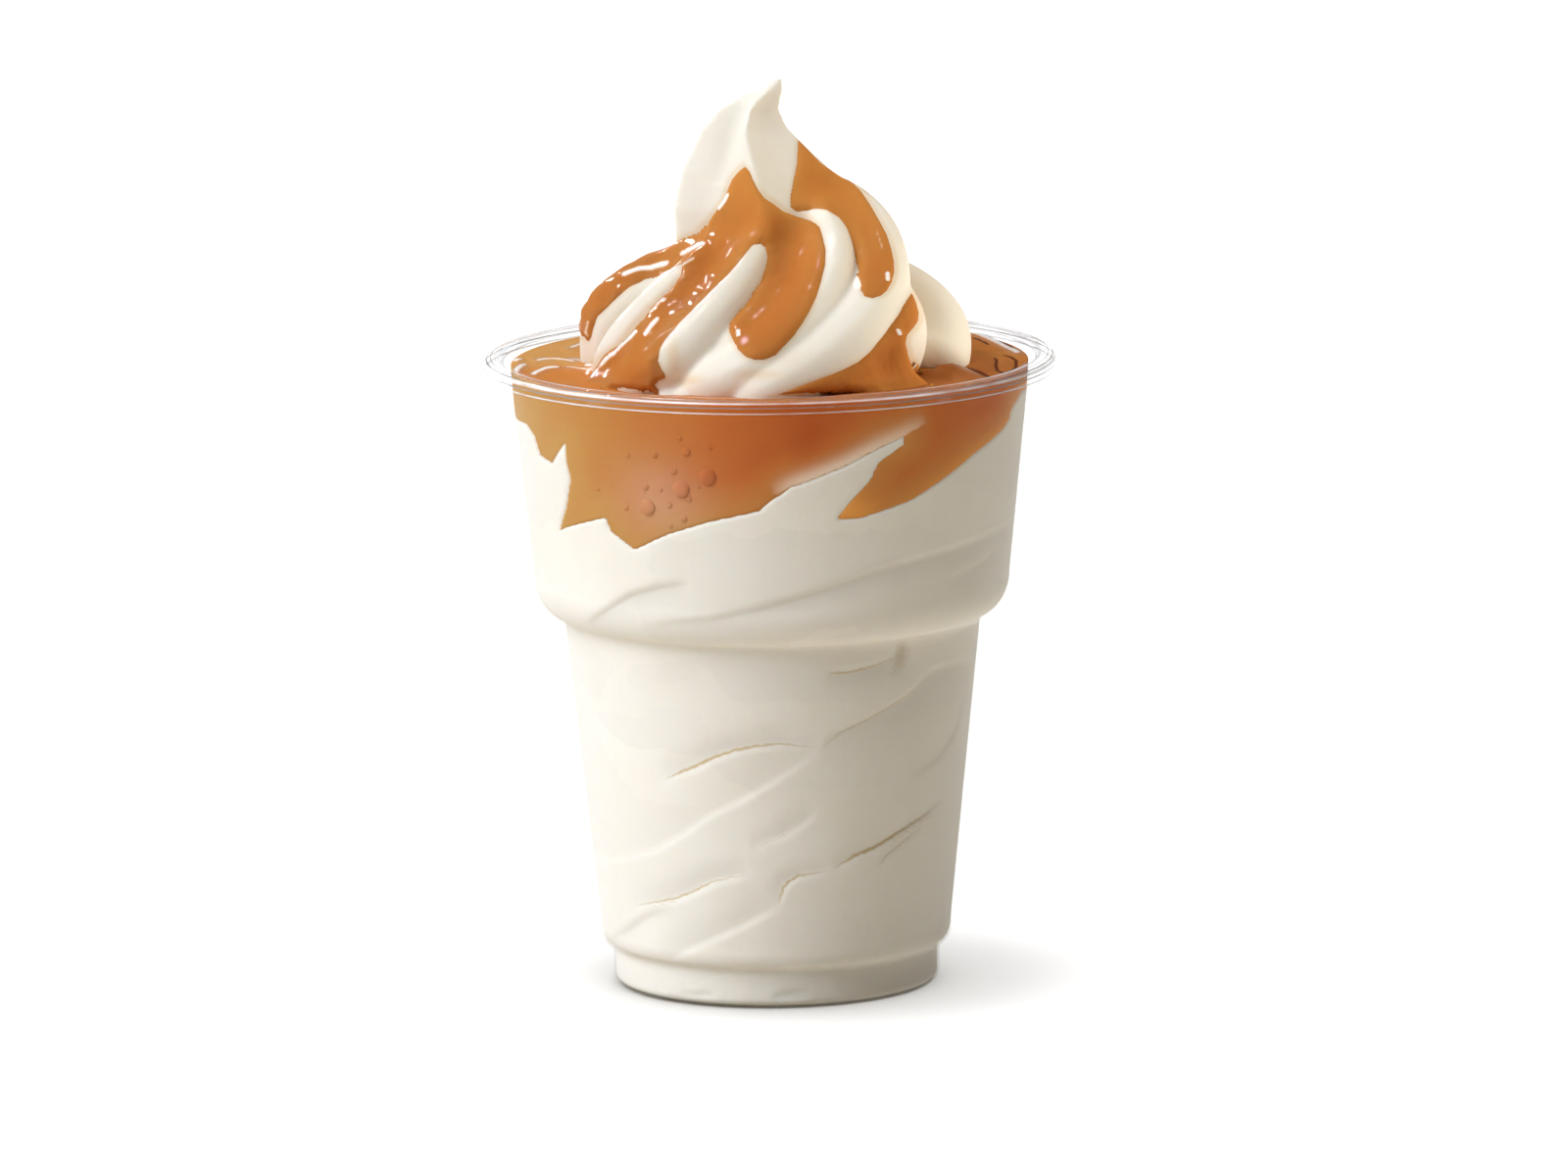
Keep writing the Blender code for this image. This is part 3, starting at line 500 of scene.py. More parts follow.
def clear_plastic():
    """Clear thin plastic. Part of the light goes straight through, more so in the wall than in the rim, which
    has painted lines of highlight and shade.
    """
    recipe = Recipe("clear_plastic", transmission_weight=1.0, ior=1.49)
    recipe.shader.inputs["Specular Tint"].default_value = (0.5, 0.5, 0.5, 1.0)
    recipe.colour(CLEAR)
    drawn = recipe.noise(9.0, 3.0, 0.55, (1, 1, 0.25))
    recipe.varying(Roughness=drawn * 0.04 + 0.005)
    ripple = recipe.noise(5.0, 1.0, 0.4, (1, 1, 0.3))
    recipe.varying(Normal=recipe.bump(ripple, 0.05, 0.5))
    passing = recipe.node("BsdfTransparent", None, {"Color": PASSING})
    shadow = recipe.node("LightPath", output="Is Shadow Ray")
    rays = shadow + recipe.node("LightPath", output="Is Diffuse Ray")
    height = recipe.node("SeparateXYZ", None, {0: recipe.place()}, output=2)
    wall = recipe.maths("LESS_THAN", height, DRUM_TOP_HEIGHT * MM)
    straight = recipe.maths("MAXIMUM", rays, wall * (WALL_CLEAR - RIM_CLEAR) + RIM_CLEAR)
    sockets = {0: straight, 1: Reading(recipe, recipe.shader.outputs[0]), 2: passing}
    mixed = recipe.node("MixShader", None, sockets)
    # painted highlight and shade: white and grey lines on the rim
    tone = recipe.ramp(recipe.attribute("line_tone"), (0.0, RIM_SHADE_GREY), (0.9, RIM_HIGHLIGHT_WHITE))
    bright = recipe.node("BsdfPrincipled", None, {"Base Color": tone, "Roughness": 0.25})
    swelling = recipe.noise(8.0, 2.0, 0.6) * 1.6
    share = recipe.attribute("line_strength") * swelling * (1 - recipe.maths("MINIMUM", rays, 1.0))
    lined = recipe.node("MixShader", None, {0: share, 1: mixed, 2: bright})
    recipe.tree.links.new(lined.socket, recipe.output.inputs["Surface"])
    return recipe.material


def soft_ice_cream(name):
    """What both ice creams share: soft, slightly see-through, a little uneven in colour and gloss."""
    recipe = Recipe(name, subsurface_weight=0.25, subsurface_scale=1.1 * MM)
    recipe.shader.inputs["Subsurface Radius"].default_value = (1.0, 0.72, 0.45)
    broad = recipe.noise(16.0, 3.0, 0.5)
    base = recipe.ramp(broad, (0.3, CREAM), (0.7, PALE_CREAM))
    recipe.varying(Roughness=0.42 + recipe.noise(6.0, 2.0, 0.5) * 0.16)
    return recipe, base


def swirl_ice_cream():
    """The swirl's ice cream: greyer between its arms with painted shade, and stained where caramel shines
    through.
    """
    recipe, base = soft_ice_cream("soft_serve")
    recipe.shader.inputs["Specular IOR Level"].default_value = 0.3
    # painted shade: greyer in the swirl's hollows
    base = recipe.blend(recipe.attribute("hollow") * 0.55, base, SWIRL_SHADE)
    recipe.colour(recipe.blend(recipe.attribute("stain"), base, STAINED_CREAM))
    height = recipe.noise(0.9, 3.0, 0.6) * 0.35 + recipe.noise(5.0, 2.0, 0.5)
    recipe.varying(Normal=recipe.bump(height, 0.12, 0.6))
    return recipe.material


def facets(recipe):
    """Values from 0 to 1 in flat patches with crisp slanting edges, for painted shade on the flat facets of
    the ice cream pressed to the wall.
    """
    slant = {"Vector": recipe.place(), "Rotation": (0, 0.45, 0), "Scale": (1, 1, 2.4)}
    slanted = recipe.node("Mapping", None, slant)
    cloud = {"Vector": recipe.place(), "Scale": 130.0, "Detail": 3.0}
    wobble = recipe.node("TexNoise", None, cloud, output=1)
    moved = recipe.node("VectorMath", {"operation": "SCALE"}, {0: wobble, "Scale": 0.012})
    where = recipe.node("VectorMath", {"operation": "ADD"}, {0: slanted, 1: moved})
    return recipe.node("TexVoronoi", None, {"Vector": where, "Scale": 45.0}, output=1)


def pressed_ice_cream():
    """Ice cream pressed to the wall: folds with a thin crisp painted tan shadow line, painted grey shade in
    their hollows and on flat facets, faint upright streaks.
    """
    recipe, base = soft_ice_cream("ice_cream_body")
    recipe.shader.inputs["Specular IOR Level"].default_value = 0.0
    offset = recipe.attribute("fold_offset")
    ragged = offset + (recipe.noise(0.9, 4.0, 0.7) - 0.5) * 0.8
    tan = recipe.attribute("fold_tan")
    line = recipe.maths("MAXIMUM", tan * 1.7 - recipe.maths("ABSOLUTE", ragged) * 3.4, 0.0)
    cliff = recipe.maths("SMOOTH_MIN", recipe.maths("SMOOTH_MAX", ragged * 2.5, -1.0, 0.5), 1.0, 0.5)
    strength = recipe.attribute("fold_strength")
    streaks = recipe.noise(1.6, 2.0, 0.5, (1, 1, 0.06))
    base = recipe.blend((streaks - 0.35) * 0.16, base, STREAKED_CREAM)
    # painted shade: flat facets a little greyer
    base = recipe.blend(facets(recipe) * 0.3, base, FACET_SHADE_CREAM)
    base = recipe.blend((recipe.noise(0.5, 2.0, 0.6) - 0.5) * 0.35, base, FLECKED_CREAM)
    # painted shade: grey on the deep side of each fold
    base = recipe.blend(recipe.attribute("fold_shade") * 0.52, base, FOLD_SHADE)
    # painted shadow: a thin tan line in each fold's gap
    recipe.colour(recipe.blend(line * 0.8, base, FOLD_SHADOW_TAN))
    grain = recipe.noise(0.9, 3.0, 0.6) * 0.3 + recipe.noise(6.0, 2.0, 0.5) + streaks * 0.2
    recipe.varying(Normal=recipe.bump(grain + cliff * strength * 0.9, 0.14, 0.7))
    return recipe.material


def caramel(name):
    """Caramel: deeper brown where thick, paler under a film, pale with painted highlights along its streaks
    and crests, and dark with painted shade in its cracks.
    """
    recipe = Recipe(name, subsurface_weight=0.2, subsurface_scale=1.6 * MM, coat_roughness=0.04)
    recipe.shader.inputs["Specular IOR Level"].default_value = 0.0
    recipe.shader.inputs["Subsurface Radius"].default_value = (1.0, 0.42, 0.12)
    depth = recipe.attribute("depth")
    cloud = recipe.noise(7.0, 3.0, 0.55)
    share = (depth + (cloud - 0.5) * 0.22) * 0.7
    base = recipe.ramp(
        share,
        (0.0, (0.54, 0.30, 0.08, 1)),
        (0.245, (0.53, 0.205, 0.048, 1)),
        (0.49, (0.53, 0.146, 0.029, 1)),
        (0.7, (0.44, 0.086, 0.015, 1)),
    )
    on_top = recipe.ramp(
        share,
        (0.2, (0.56, 0.30, 0.09, 1)),
        (0.5, (0.51, 0.175, 0.038, 1)),
        (0.8, (0.33, 0.10, 0.024, 1)),
    )
    base = recipe.blend(recipe.attribute("pool"), base, on_top)
    base = recipe.blend(recipe.attribute("glow"), base, GLOWING_CARAMEL)
    base = recipe.blend(recipe.attribute("film"), base, FILMED_CARAMEL)
    frayed = (recipe.noise(0.8, 3.0, 0.6) - 0.5) * 0.16
    crest = recipe.attribute("crest") + frayed
    # painted highlight: pale, then white, along the crests and streaks
    base = recipe.blend((crest - 0.52) * 6, base, PALE_CARAMEL)
    base = recipe.blend((crest - 0.70) * 10, base, HIGHLIGHT_WHITE)
    crack = recipe.attribute("crack") + frayed
    # painted shade: dark brown in the cracks
    base = recipe.blend((crack - 0.58) * 7, base, CRACK_SHADE_BROWN)
    recipe.colour(base)
    gloss = recipe.attribute("gloss")
    recipe.varying(**{"Coat Weight": gloss, "Roughness": 0.62 - cloud * 0.2 - gloss * 0.4})
    recipe.varying(Normal=recipe.bump(recipe.noise(2.4, 2.0, 0.5), 0.16, 0.8))
    return recipe.material


def floor_paint():
    """Pale paint that throws little light back up at the part."""
    recipe = Recipe("pale_floor", roughness=0.9)
    cloud = recipe.noise(400.0, 2.0, 0.5)
    recipe.colour(recipe.ramp(cloud, (0.2, FLOOR_GREY), (0.8, FLOOR_WHITE)))
    dim = recipe.node("BsdfDiffuse", None, {"Color": FLOOR_BOUNCE})
    bounced = recipe.node("LightPath", output="Is Diffuse Ray")
    sockets = {0: bounced, 1: Reading(recipe, recipe.shader.outputs[0]), 2: dim}
    recipe.tree.links.new(recipe.node("MixShader", None, sockets).socket, recipe.output.inputs["Surface"])
    return recipe.material


def arc(middle, reach, rise, first, last, count):
    """Points of an upright oval from the first to the last of its angles."""
    angles = np.radians(np.linspace(first, last, count))
    return [(middle[0] + reach * math.cos(a), middle[1] + rise * math.sin(a)) for a in angles]


def wall_profile():
    """Outside of the cup from the middle of its underside up to the rim's root."""
    under = [(0.0, PUSH_UP), (RING_INNER_RADIUS - 2.4, PUSH_UP), (RING_INNER_RADIUS - 1.4, PUSH_UP - 0.4)]
    ring = [(RING_INNER_RADIUS - 0.2, 0.3), (RING_INNER_RADIUS + 0.6, 0.0)]
    foot = arc((FOOT_RADIUS - 1.5, 1.5), 1.5, 1.5, -90, 0, 7)
    neck = [(FOOT_RADIUS, FOOT_HEIGHT - 0.5), (FOOT_RADIUS + 0.15, FOOT_HEIGHT - 0.12)]
    waist = arc((FOOT_RADIUS + 0.4, WAIST_HEIGHT), WAIST_RADIUS - FOOT_RADIUS - 0.4, 3.2, -86, 0, 9)
    corner = [
        (LOWER_TOP_RADIUS - 0.12, LOWER_TOP_HEIGHT - 1.0),
        (LOWER_TOP_RADIUS + 0.05, LOWER_TOP_HEIGHT - 0.2),
    ]
    middle = (LOWER_TOP_RADIUS, LOWER_TOP_HEIGHT + SHOULDER_RISE)
    shoulder = arc(middle, SHOULDER_REACH, SHOULDER_RISE, -84, 0, 12)
    return under + ring + foot + neck + waist + corner + shoulder + [(DRUM_TOP_RADIUS, DRUM_TOP_HEIGHT)]


def rim_profile():
    """Curled rim: out under its flange, round the open curl, and back over the top into the cup."""
    root = [(DRUM_TOP_RADIUS + 0.14, 93.6), (DRUM_TOP_RADIUS + 0.34, 94.25), (DRUM_TOP_RADIUS + 0.8, 94.6)]
    under = [(RIM_RADIUS - 1.5, 94.72), (RIM_RADIUS - 0.85, 94.4), (RIM_RADIUS - 0.62, 93.8)]
    curl = [(RIM_RADIUS - 0.66, 93.1), (RIM_RADIUS - 0.5, 92.82)]
    curl += [(RIM_RADIUS - 0.2, 92.82), (RIM_RADIUS - 0.03, 93.1)]
    over = arc((RIM_RADIUS - 1.35, RIM_HEIGHT - 1.35), 1.35, 1.35, -6, 92, 10)
    lip = [(RIM_RADIUS - 2.3, RIM_HEIGHT - 0.1), (RIM_RADIUS - 3.0, RIM_HEIGHT - 0.14)]
    inside = arc((RIM_RADIUS - 3.2, RIM_HEIGHT - 1.3), 1.1, 1.1, 88, 172, 7)
    return root + under + curl + over + lip + inside


def moved_in(profile, distance):
    """The profile moved to its left side, the inside of a wall that is followed upwards."""
    points = np.array(profile, dtype=float)
    steps = np.diff(points, axis=0)
    normals = np.stack([-steps[:, 1], steps[:, 0]], axis=1)
    normals /= np.linalg.norm(normals, axis=1)[:, None]
    middle = np.vstack([normals[:1], normals]) + np.vstack([normals, normals[-1:]])
    middle /= np.linalg.norm(middle, axis=1)[:, None]
    moved = points + middle * distance
    moved[0, 0] = 0.0
    return [tuple(point) for point in moved]


def spun(profile, steps, spacing=None, fine=slice(None)):
    """A body of revolution from points of radius and height. Its fine lines get points a spacing apart."""
    bm = bmesh.new()
    corners = [bm.verts.new((0.0, -radius * MM, height * MM)) for radius, height in profile]
    edges = [bm.edges.new(ends) for ends in zip(corners, corners[1:])]
    for edge in edges[fine] if spacing else ():
        bmesh.ops.subdivide_edges(bm, edges=[edge], cuts=int(edge.calc_length() / (spacing * MM)))
    line = bm.verts[:] + bm.edges[:]
    turn = {"cent": (0, 0, 0), "axis": (0, 0, 1), "angle": 2 * math.pi, "steps": steps}
    bmesh.ops.spin(bm, geom=line, use_merge=True, **turn)
    bmesh.ops.remove_doubles(bm, verts=bm.verts, dist=1e-6)
    bmesh.ops.recalc_face_normals(bm, faces=bm.faces)
    return bm


def to_mesh(name, bm):
    mesh = bpy.data.meshes.new(name)
    bm.to_mesh(mesh)
    bm.free()
    return mesh


def piece(name, mesh, material, replaced=None, crease=None):
    """Puts a finished mesh into the scene as a piece that rides on the part."""
    mesh.materials.clear()
    mesh.materials.append(material)
    mesh.shade_smooth()
    if crease:
        mesh.set_sharp_from_angle(angle=math.radians(crease))
    thing = bpy.data.objects.new(name, mesh)
    bpy.context.scene.collection.objects.link(thing)
    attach(thing, "root")
    if replaced:
        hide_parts(replaced)
    return thing


def places(mesh):
    """The vertices of a mesh, in millimetres."""
    values = np.empty(len(mesh.vertices) * 3, dtype=np.float32)
    mesh.vertices.foreach_get("co", values)
    return values.reshape(-1, 3).astype(float) / MM


def normals_of(mesh):
    values = np.empty(len(mesh.vertices) * 3, dtype=np.float32)
    mesh.vertex_normals.foreach_get("vector", values)
    return values.reshape(-1, 3).astype(float)


def put_places(mesh, points):
    mesh.vertices.foreach_set("co", (points * MM).astype(np.float32).ravel())
    mesh.update()


def put_attributes(mesh, **values):
    """Gives a mesh one number a vertex under each name, for its material to read."""
    for name, numbers in values.items():
        made = mesh.attributes.new(name, "FLOAT", "POINT")
        made.data.foreach_set("value", numbers.astype(np.float32))


def bearings_of(points):
    """Bearing of each point from -90 to 270 degrees."""
    return (np.degrees(np.arctan2(points[:, 0], -points[:, 1])) + 90) % 360 - 90


def smooth_step(values):
    values = np.clip(values, 0, 1)
    return values * values * (3 - 2 * values)


def outline_distance(points, outline):
    """Signed distance of flat points to a closed outline, positive inside."""
    nearest = np.full(len(points), 1e6)
    inside = np.zeros(len(points), dtype=bool)
    ends = np.roll(outline, -1, axis=0)
    for start, end in zip(outline, ends):
        step = end - start
        share = np.clip((points - start) @ step / max(step @ step, 1e-9), 0, 1)
        nearest = np.minimum(nearest, np.linalg.norm(points - start - share[:, None] * step, axis=1))
        straddles = (start[1] > points[:, 1]) != (end[1] > points[:, 1])
        rise = end[1] - start[1] if end[1] != start[1] else 1e-9
        crossing = start[0] + (points[:, 1] - start[1]) / rise * step[0]
        inside ^= straddles & (points[:, 0] < crossing)
    return np.where(inside, nearest, -nearest)


def sauce_depth(points):
    """How far inside the caramel's outline on the wall each point lies, negative below it."""
    edge = np.array(SAUCE_EDGE)
    turns = [edge + (offset, 0) for offset in (-360, 0, 360)]
    outline = np.vstack(turns + [[(620, 130), (-450, 130)]])
    outline[:, 0] *= WALL_ARC
    flat = np.stack([bearings_of(points) * WALL_ARC, points[:, 2]], axis=1)
    return outline_distance(flat, outline)


def to_line(points, line, scale=1.0):
    """Distance of flat points to a line, the side they lie on, and how far along it, from 0 to 1.

    Where scale is an array, the first axis is a bearing, and scale says what a degree of it measures."""
    nearest = np.full(len(points), 1e6)
    side = np.ones(len(points))
    share = np.zeros(len(points))
    for index, (start, end) in enumerate(zip(line, line[1:])):
        along = points[:, 0] - start[0]
        if not np.isscalar(scale):
            along = (along + 180) % 360 - 180
        along = along * scale
        up = points[:, 1] - start[1]
        span = (end[0] - start[0]) * scale
        rise = end[1] - start[1]
        part = np.clip((along * span + up * rise) / (span * span + rise * rise), 0, 1)
        distance = np.hypot(along - part * span, up - part * rise)
        closer = distance < nearest
        nearest = np.where(closer, distance, nearest)
        side = np.where(closer, np.sign(up * span - along * rise), side)
        share = np.where(closer, (index + part) / (len(line) - 1), share)
    return nearest, side, share


def whole(share):
    """Full along a line, with short fades at its two ends."""
    return np.clip(8 * np.minimum(share, 1 - share), 0, 1)


def faded(share):
    """Full along a line and fading to nothing at its two ends."""
    return np.sqrt(np.clip(np.sin(math.pi * share), 0, 1))


def fold_relief(bearings, heights, radius):
    """The folds of the ice cream at the wall, point by point.

    How deep the side is drawn in, how much painted grey shade it gets, how far over the nearest fold's line a
    point lies, how strong that fold is there, and how strong its painted tan shadow line is."""
    depth = np.zeros(bearings.shape)
    shade = np.zeros(bearings.shape)
    offset = np.full(bearings.shape, 9.0)
    strength = np.zeros(bearings.shape)
    tan = np.zeros(bearings.shape)
    flat = np.stack([bearings, heights], axis=1)
    for line, deepest, above, below, tint, grey in FOLDS:
        nearest, side, share = to_line(flat, line, np.radians(1) * radius)
        side = side * np.sign(line[-1][0] - line[0][0])
        reach = np.where(side > 0, above, below)
        hollow = faded(share) * np.exp(-((nearest / reach) ** 2))
        depth = np.maximum(depth, deepest * hollow)
        shade = np.maximum(shade, grey * hollow)
        closer = nearest < np.abs(offset)
        steep_above = 1.0 if above < below else -1.0
        offset = np.where(closer, nearest * side, offset)
        near = faded(share) * np.exp(-((nearest / FOLD_REACH) ** 2))
        strength = np.where(closer, steep_above * deepest * near, strength)
        tan = np.where(closer, tint * near * (1 - 0.55 * share), tan)
    return depth, shade, offset, strength, tan


def pool_relief(points):
    """The pool's skin, point by point: its rise over its level, and how near a pale line with a painted
    highlight or a dark line of painted shade is.
    """
    rise = np.zeros(len(points))
    crest = np.zeros(len(points))
    crack = np.zeros(len(points))
    squash = np.array((1, POOL_SQUASH))
    for line, height, before, behind, tone in POOL_FOLDS:
        squashed = [tuple(np.array(end) * squash) for end in line]
        nearest, side, share = to_line(points[:, :2] * squash, squashed)
        side = side * np.sign(line[-1][0] - line[0][0])
        reach = np.where(side > 0, behind, before)
        rise += height * faded(share) * np.exp(-((nearest / reach) ** 1.4))
        line_reach = POOL_LINE_REACH if tone > 0 else POOL_CRACK_REACH
        near = whole(share) * np.clip(1 - nearest / line_reach, 0, 1)
        crest = np.maximum(crest, tone * near)
        crack = np.maximum(crack, -tone * near)
    return rise, crest, crack


def wall_patch(points, patch):
    """A soft patch on the cup's wall, from nothing to its strength."""
    bearing, height, reach, rise, strength = patch
    away = np.hypot((bearings_of(points) - bearing) * WALL_ARC / reach, (points[:, 2] - height) / rise)
    return strength * np.exp(-(away**2))


def sauce_film(points):
    """How much melted ice cream veils the caramel at the wall."""
    flat = np.stack([bearings_of(points), points[:, 2]], axis=1)
    scale = np.full(len(points), WALL_ARC)
    above, side, share = to_line(flat, NOTCH_LINE, scale)
    film = NOTCH_FILM * np.exp(-((above / NOTCH_FILM_REACH) ** 2)) * faded(share) * (side > 0)
    return np.maximum(film, wall_patch(points, WALL_FILM))


def sauce_glow(points, inside):
    """How bright an orange thin caramel is at the wall, from 0 to 1."""
    along = smooth_step((bearings_of(points) - EDGE_GLOW_START) / EDGE_GLOW_SPAN)
    edge = np.exp(-((inside / EDGE_GLOW_REACH) ** 2)) * along
    return np.maximum(wall_patch(points, TONGUE_GLOW), EDGE_GLOW * edge)


def wall_tone(points, inside):
    """How deep a brown the caramel is at the wall, from 0 to 1."""
    deepening = (1 - WALL_EDGE_TONE) * smooth_step(inside / WALL_EDGE_REACH)
    return np.interp(points[:, 0], *WALL_TONES) * (WALL_EDGE_TONE + deepening)


def pool_tone(points):
    """How deep a brown the pool is, from 0 to 1: golden at the back left, deep brown at the front right."""
    back = smooth_step((points[:, 1] - POOL_BACK_START) / POOL_BACK_SPAN)
    return np.interp(points[:, 0], *POOL_TONES) - POOL_BACK_FADE * back


def pool_film(points):
    """A patch of ice cream that shows through the pool's skin at the left."""
    right, behind, reach, reach_back, strength = POOL_CREAM
    away = np.hypot((points[:, 0] - right) / reach, (points[:, 1] - behind) / reach_back)
    return strength * np.exp(-(away**4))


def move_out(points, distance):
    """Moves points level, away from the cup's axis."""
    radius = np.linalg.norm(points[:, :2], axis=1)
    points[:, :2] *= ((radius + distance) / np.maximum(radius, 1e-6))[:, None]


def rim_lines(points):
    """The painted lines of highlight and shade on the rim: how strong they are, and how bright, from 0 to 1.
    """
    radius = np.linalg.norm(points[:, :2], axis=1)
    sideways = np.abs(points[:, 0]) / RIM_RADIUS
    strength = np.zeros(len(points))
    tone = np.zeros(len(points))
    for line_radius, height, width, bright in RIM_LINES:
        away = np.hypot(radius - line_radius, points[:, 2] - height) / (width * (1 + sideways))
        here = np.exp(-(away**3))
        tone = np.where(here > strength, bright, tone)
        strength = np.maximum(strength, here)
    return strength, tone * (1 - RIM_SHADE * np.clip(points[:, 0] / RIM_RADIUS, 0, 1))


def make_cup():
    wall = wall_profile()
    inside = moved_in(wall, WALL)[::-1]
    rim = slice(len(wall), len(wall) + len(rim_profile()))
    mesh = to_mesh("clear_cup", spun(wall + rim_profile() + inside, CUP_STEPS, RIM_SPACING, rim))
    strength, tone = rim_lines(places(mesh))
    put_attributes(mesh, line_strength=strength, line_tone=tone)
    return piece("clear_cup", mesh, clear_plastic(), "cup", CUP_CREASE)


def make_ice_cream_body():
    walls = moved_in(wall_profile(), WALL - INTO_WALL)
    side = [point for point in walls if point[1] < FILL_TOP]
    top_radius = np.interp(FILL_TOP, [p[1] for p in walls[5:]], [p[0] for p in walls[5:]])
    profile = side + [(top_radius, FILL_TOP), (top_radius - 4, FILL_TOP - 0.5), (0.0, FILL_TOP - 2)]
    bm = spun(profile, FILL_STEPS, FILL_SPACING, slice(4, -2))
    mesh = to_mesh("ice_cream_body", bm)
    points = places(mesh)
    bearings = bearings_of(points)
    radius = np.linalg.norm(points[:, :2], axis=1)
    at_wall = (radius > FOOT_RADIUS - WALL - 1.6) & (points[:, 2] > 1.5) & (points[:, 2] < FILL_TOP)
    fold, shade, offset, strength, tan = fold_relief(bearings, points[:, 2], radius)
    inside = sauce_depth(points)
    give = np.clip(inside / SWAP_WIDTH + 0.04, 0, 1)
    move_out(points, -np.maximum(fold, give * SWAP_DEPTH) * at_wall)
    put_places(mesh, points)
    put_attributes(mesh, fold_offset=offset, fold_strength=strength, fold_tan=tan, fold_shade=shade)
    return piece("ice_cream_body", mesh, pressed_ice_cream(), "ice_cream_fill")


def make_caramel_sauce():
    walls = np.array(moved_in(wall_profile(), WALL - INTO_WALL)[5:])
    heights = np.linspace(LOWEST_SAUCE, POOL_HEIGHT, 5)
    side = [(float(np.interp(h, walls[:, 1], walls[:, 0])), float(h)) for h in heights]
    bottom = [(0.0, FILL_TOP - 3), (side[0][0] - 5, FILL_TOP - 3), (side[0][0] - 2.4, LOWEST_SAUCE)]
    top = [(side[-1][0] - 0.5, POOL_HEIGHT + 0.05), (16.0, POOL_HEIGHT), (0.0, POOL_HEIGHT)]
    bm = spun(bottom + side + top, SAUCE_STEPS, SAUCE_SPACING, slice(2, -1))
    mesh = to_mesh("caramel_sauce", bm)
    points = places(mesh)
    radius = np.linalg.norm(points[:, :2], axis=1)
    wall = np.interp(points[:, 2], walls[:, 1], walls[:, 0])
    at_wall = (radius > wall - 0.2) & (points[:, 2] < POOL_HEIGHT)
    inside = sauce_depth(points)
    give = np.clip(0.04 - inside / SWAP_WIDTH, 0, 1)
    move_out(points, -give * SWAP_DEPTH * at_wall)
    radius = np.linalg.norm(points[:, :2], axis=1)
    on_pool = (points[:, 2] > POOL_HEIGHT - 0.4) & (radius < side[-1][0] - 0.1)
    # crest: pale lines with painted highlights; crack: dark lines with painted shade
    rise, crest, crack = pool_relief(points)
    crest = np.maximum(crest, POOL_CREAM_TONE * pool_film(points))
    level_wave = POOL_WAVE * np.sin(points[:, 0] * 0.31 + 1) * np.sin(points[:, 1] * 0.27)
    points[:, 2] += np.where(on_pool, np.minimum(rise + level_wave, POOL_RISE_LIMIT), 0)
    put_places(mesh, points)
    gloss = POOL_GLOSS[0] + POOL_GLOSS[1] * np.clip(crest * 1.5, 0, 1)
    put_attributes(
        mesh,
        depth=np.where(at_wall, wall_tone(points, inside), pool_tone(points)),
        glow=sauce_glow(points, inside) * at_wall,
        film=sauce_film(points) * at_wall,
        pool=on_pool * 1.0,
        crest=crest * on_pool,
        crack=crack * on_pool,
        gloss=np.where(at_wall, 0.0, gloss),
    )
    return piece("caramel_sauce", mesh, caramel("caramel_sauce"), "caramel_layer")


def arm_path(crown, turn, reach, rise, girth, slump, side_share):
    """Middle line and radii of one arm: out from the crown, round and down to its foot, with round ends."""
    length = math.radians(ARM_LAST_SLOPE - ARM_FIRST_SLOPE) * reach
    for share in np.linspace(0, 1, ARM_STATIONS):
        slope = math.radians(ARM_FIRST_SLOPE + (ARM_LAST_SLOPE - ARM_FIRST_SLOPE) * share)
        bearing = math.radians(crown - turn * share**ARM_BEND)
        thick = girth * (CROWN_GIRTH + (1 - CROWN_GIRTH) * share**ARM_SWELL)
        frontness = max(0.0, math.cos(bearing)) ** 3
        out = (reach * (side_share + (1 - side_share) * frontness) - thick) * math.sin(slope)
        drop = math.copysign(abs(math.cos(slope)) ** slump, math.cos(slope))
        height = POOL_HEIGHT + ARM_FOOT_HEIGHT + (rise - ARM_FOOT_HEIGHT - thick) * drop
        from_end = min(share, 1 - share) * length
        rounding = math.sqrt(1 - max(0.0, 1 - from_end / thick) ** 2)
        yield (out * math.sin(bearing), -out * math.cos(bearing), height), thick * max(rounding, ARM_TIP)


def arm_mesh(arm):
    """One arm: a turned body bent along its path, with a crest on its outer side and a hollow beside it."""
    ends = [(0.0, 0.0)], [(0.0, ARM_STATIONS - 1.0)]
    profile = ends[0] + [(1.0, float(station)) for station in range(ARM_STATIONS)] + ends[1]
    mesh = to_mesh("arm", spun(profile, ARM_SIDES))
    points = places(mesh)
    path = np.array([(*middle, radius) for middle, radius in arm_path(*arm)])
    ahead = np.gradient(path[:, :3], axis=0)
    ahead /= np.linalg.norm(ahead, axis=1)[:, None]
    outward = path[:, :3] - (0, 0, POOL_HEIGHT)
    outward -= ahead * np.sum(outward * ahead, axis=1)[:, None]
    outward /= np.linalg.norm(outward, axis=1)[:, None]
    sideways = np.cross(ahead, outward)
    turn = np.arctan2(points[:, 0], -points[:, 1])
    crest = CREST * np.exp(-np.abs((turn - CREST_TURN) / CREST_WIDTH))
    hollow = HOLLOW * np.exp(-(((turn - HOLLOW_TURN) / HOLLOW_WIDTH) ** 2))
    station = np.rint(points[:, 2]).astype(int)
    fading = 1 - CREST_FADE * station / ARM_STATIONS
    off_line = np.linalg.norm(points[:, :2], axis=1) * path[station, 3] * (1 + (crest - hollow) * fading)
    direction = outward[station] * np.cos(turn)[:, None] + sideways[station] * np.sin(turn)[:, None]
    put_places(mesh, path[station, :3] + direction * off_line[:, None])
    return mesh


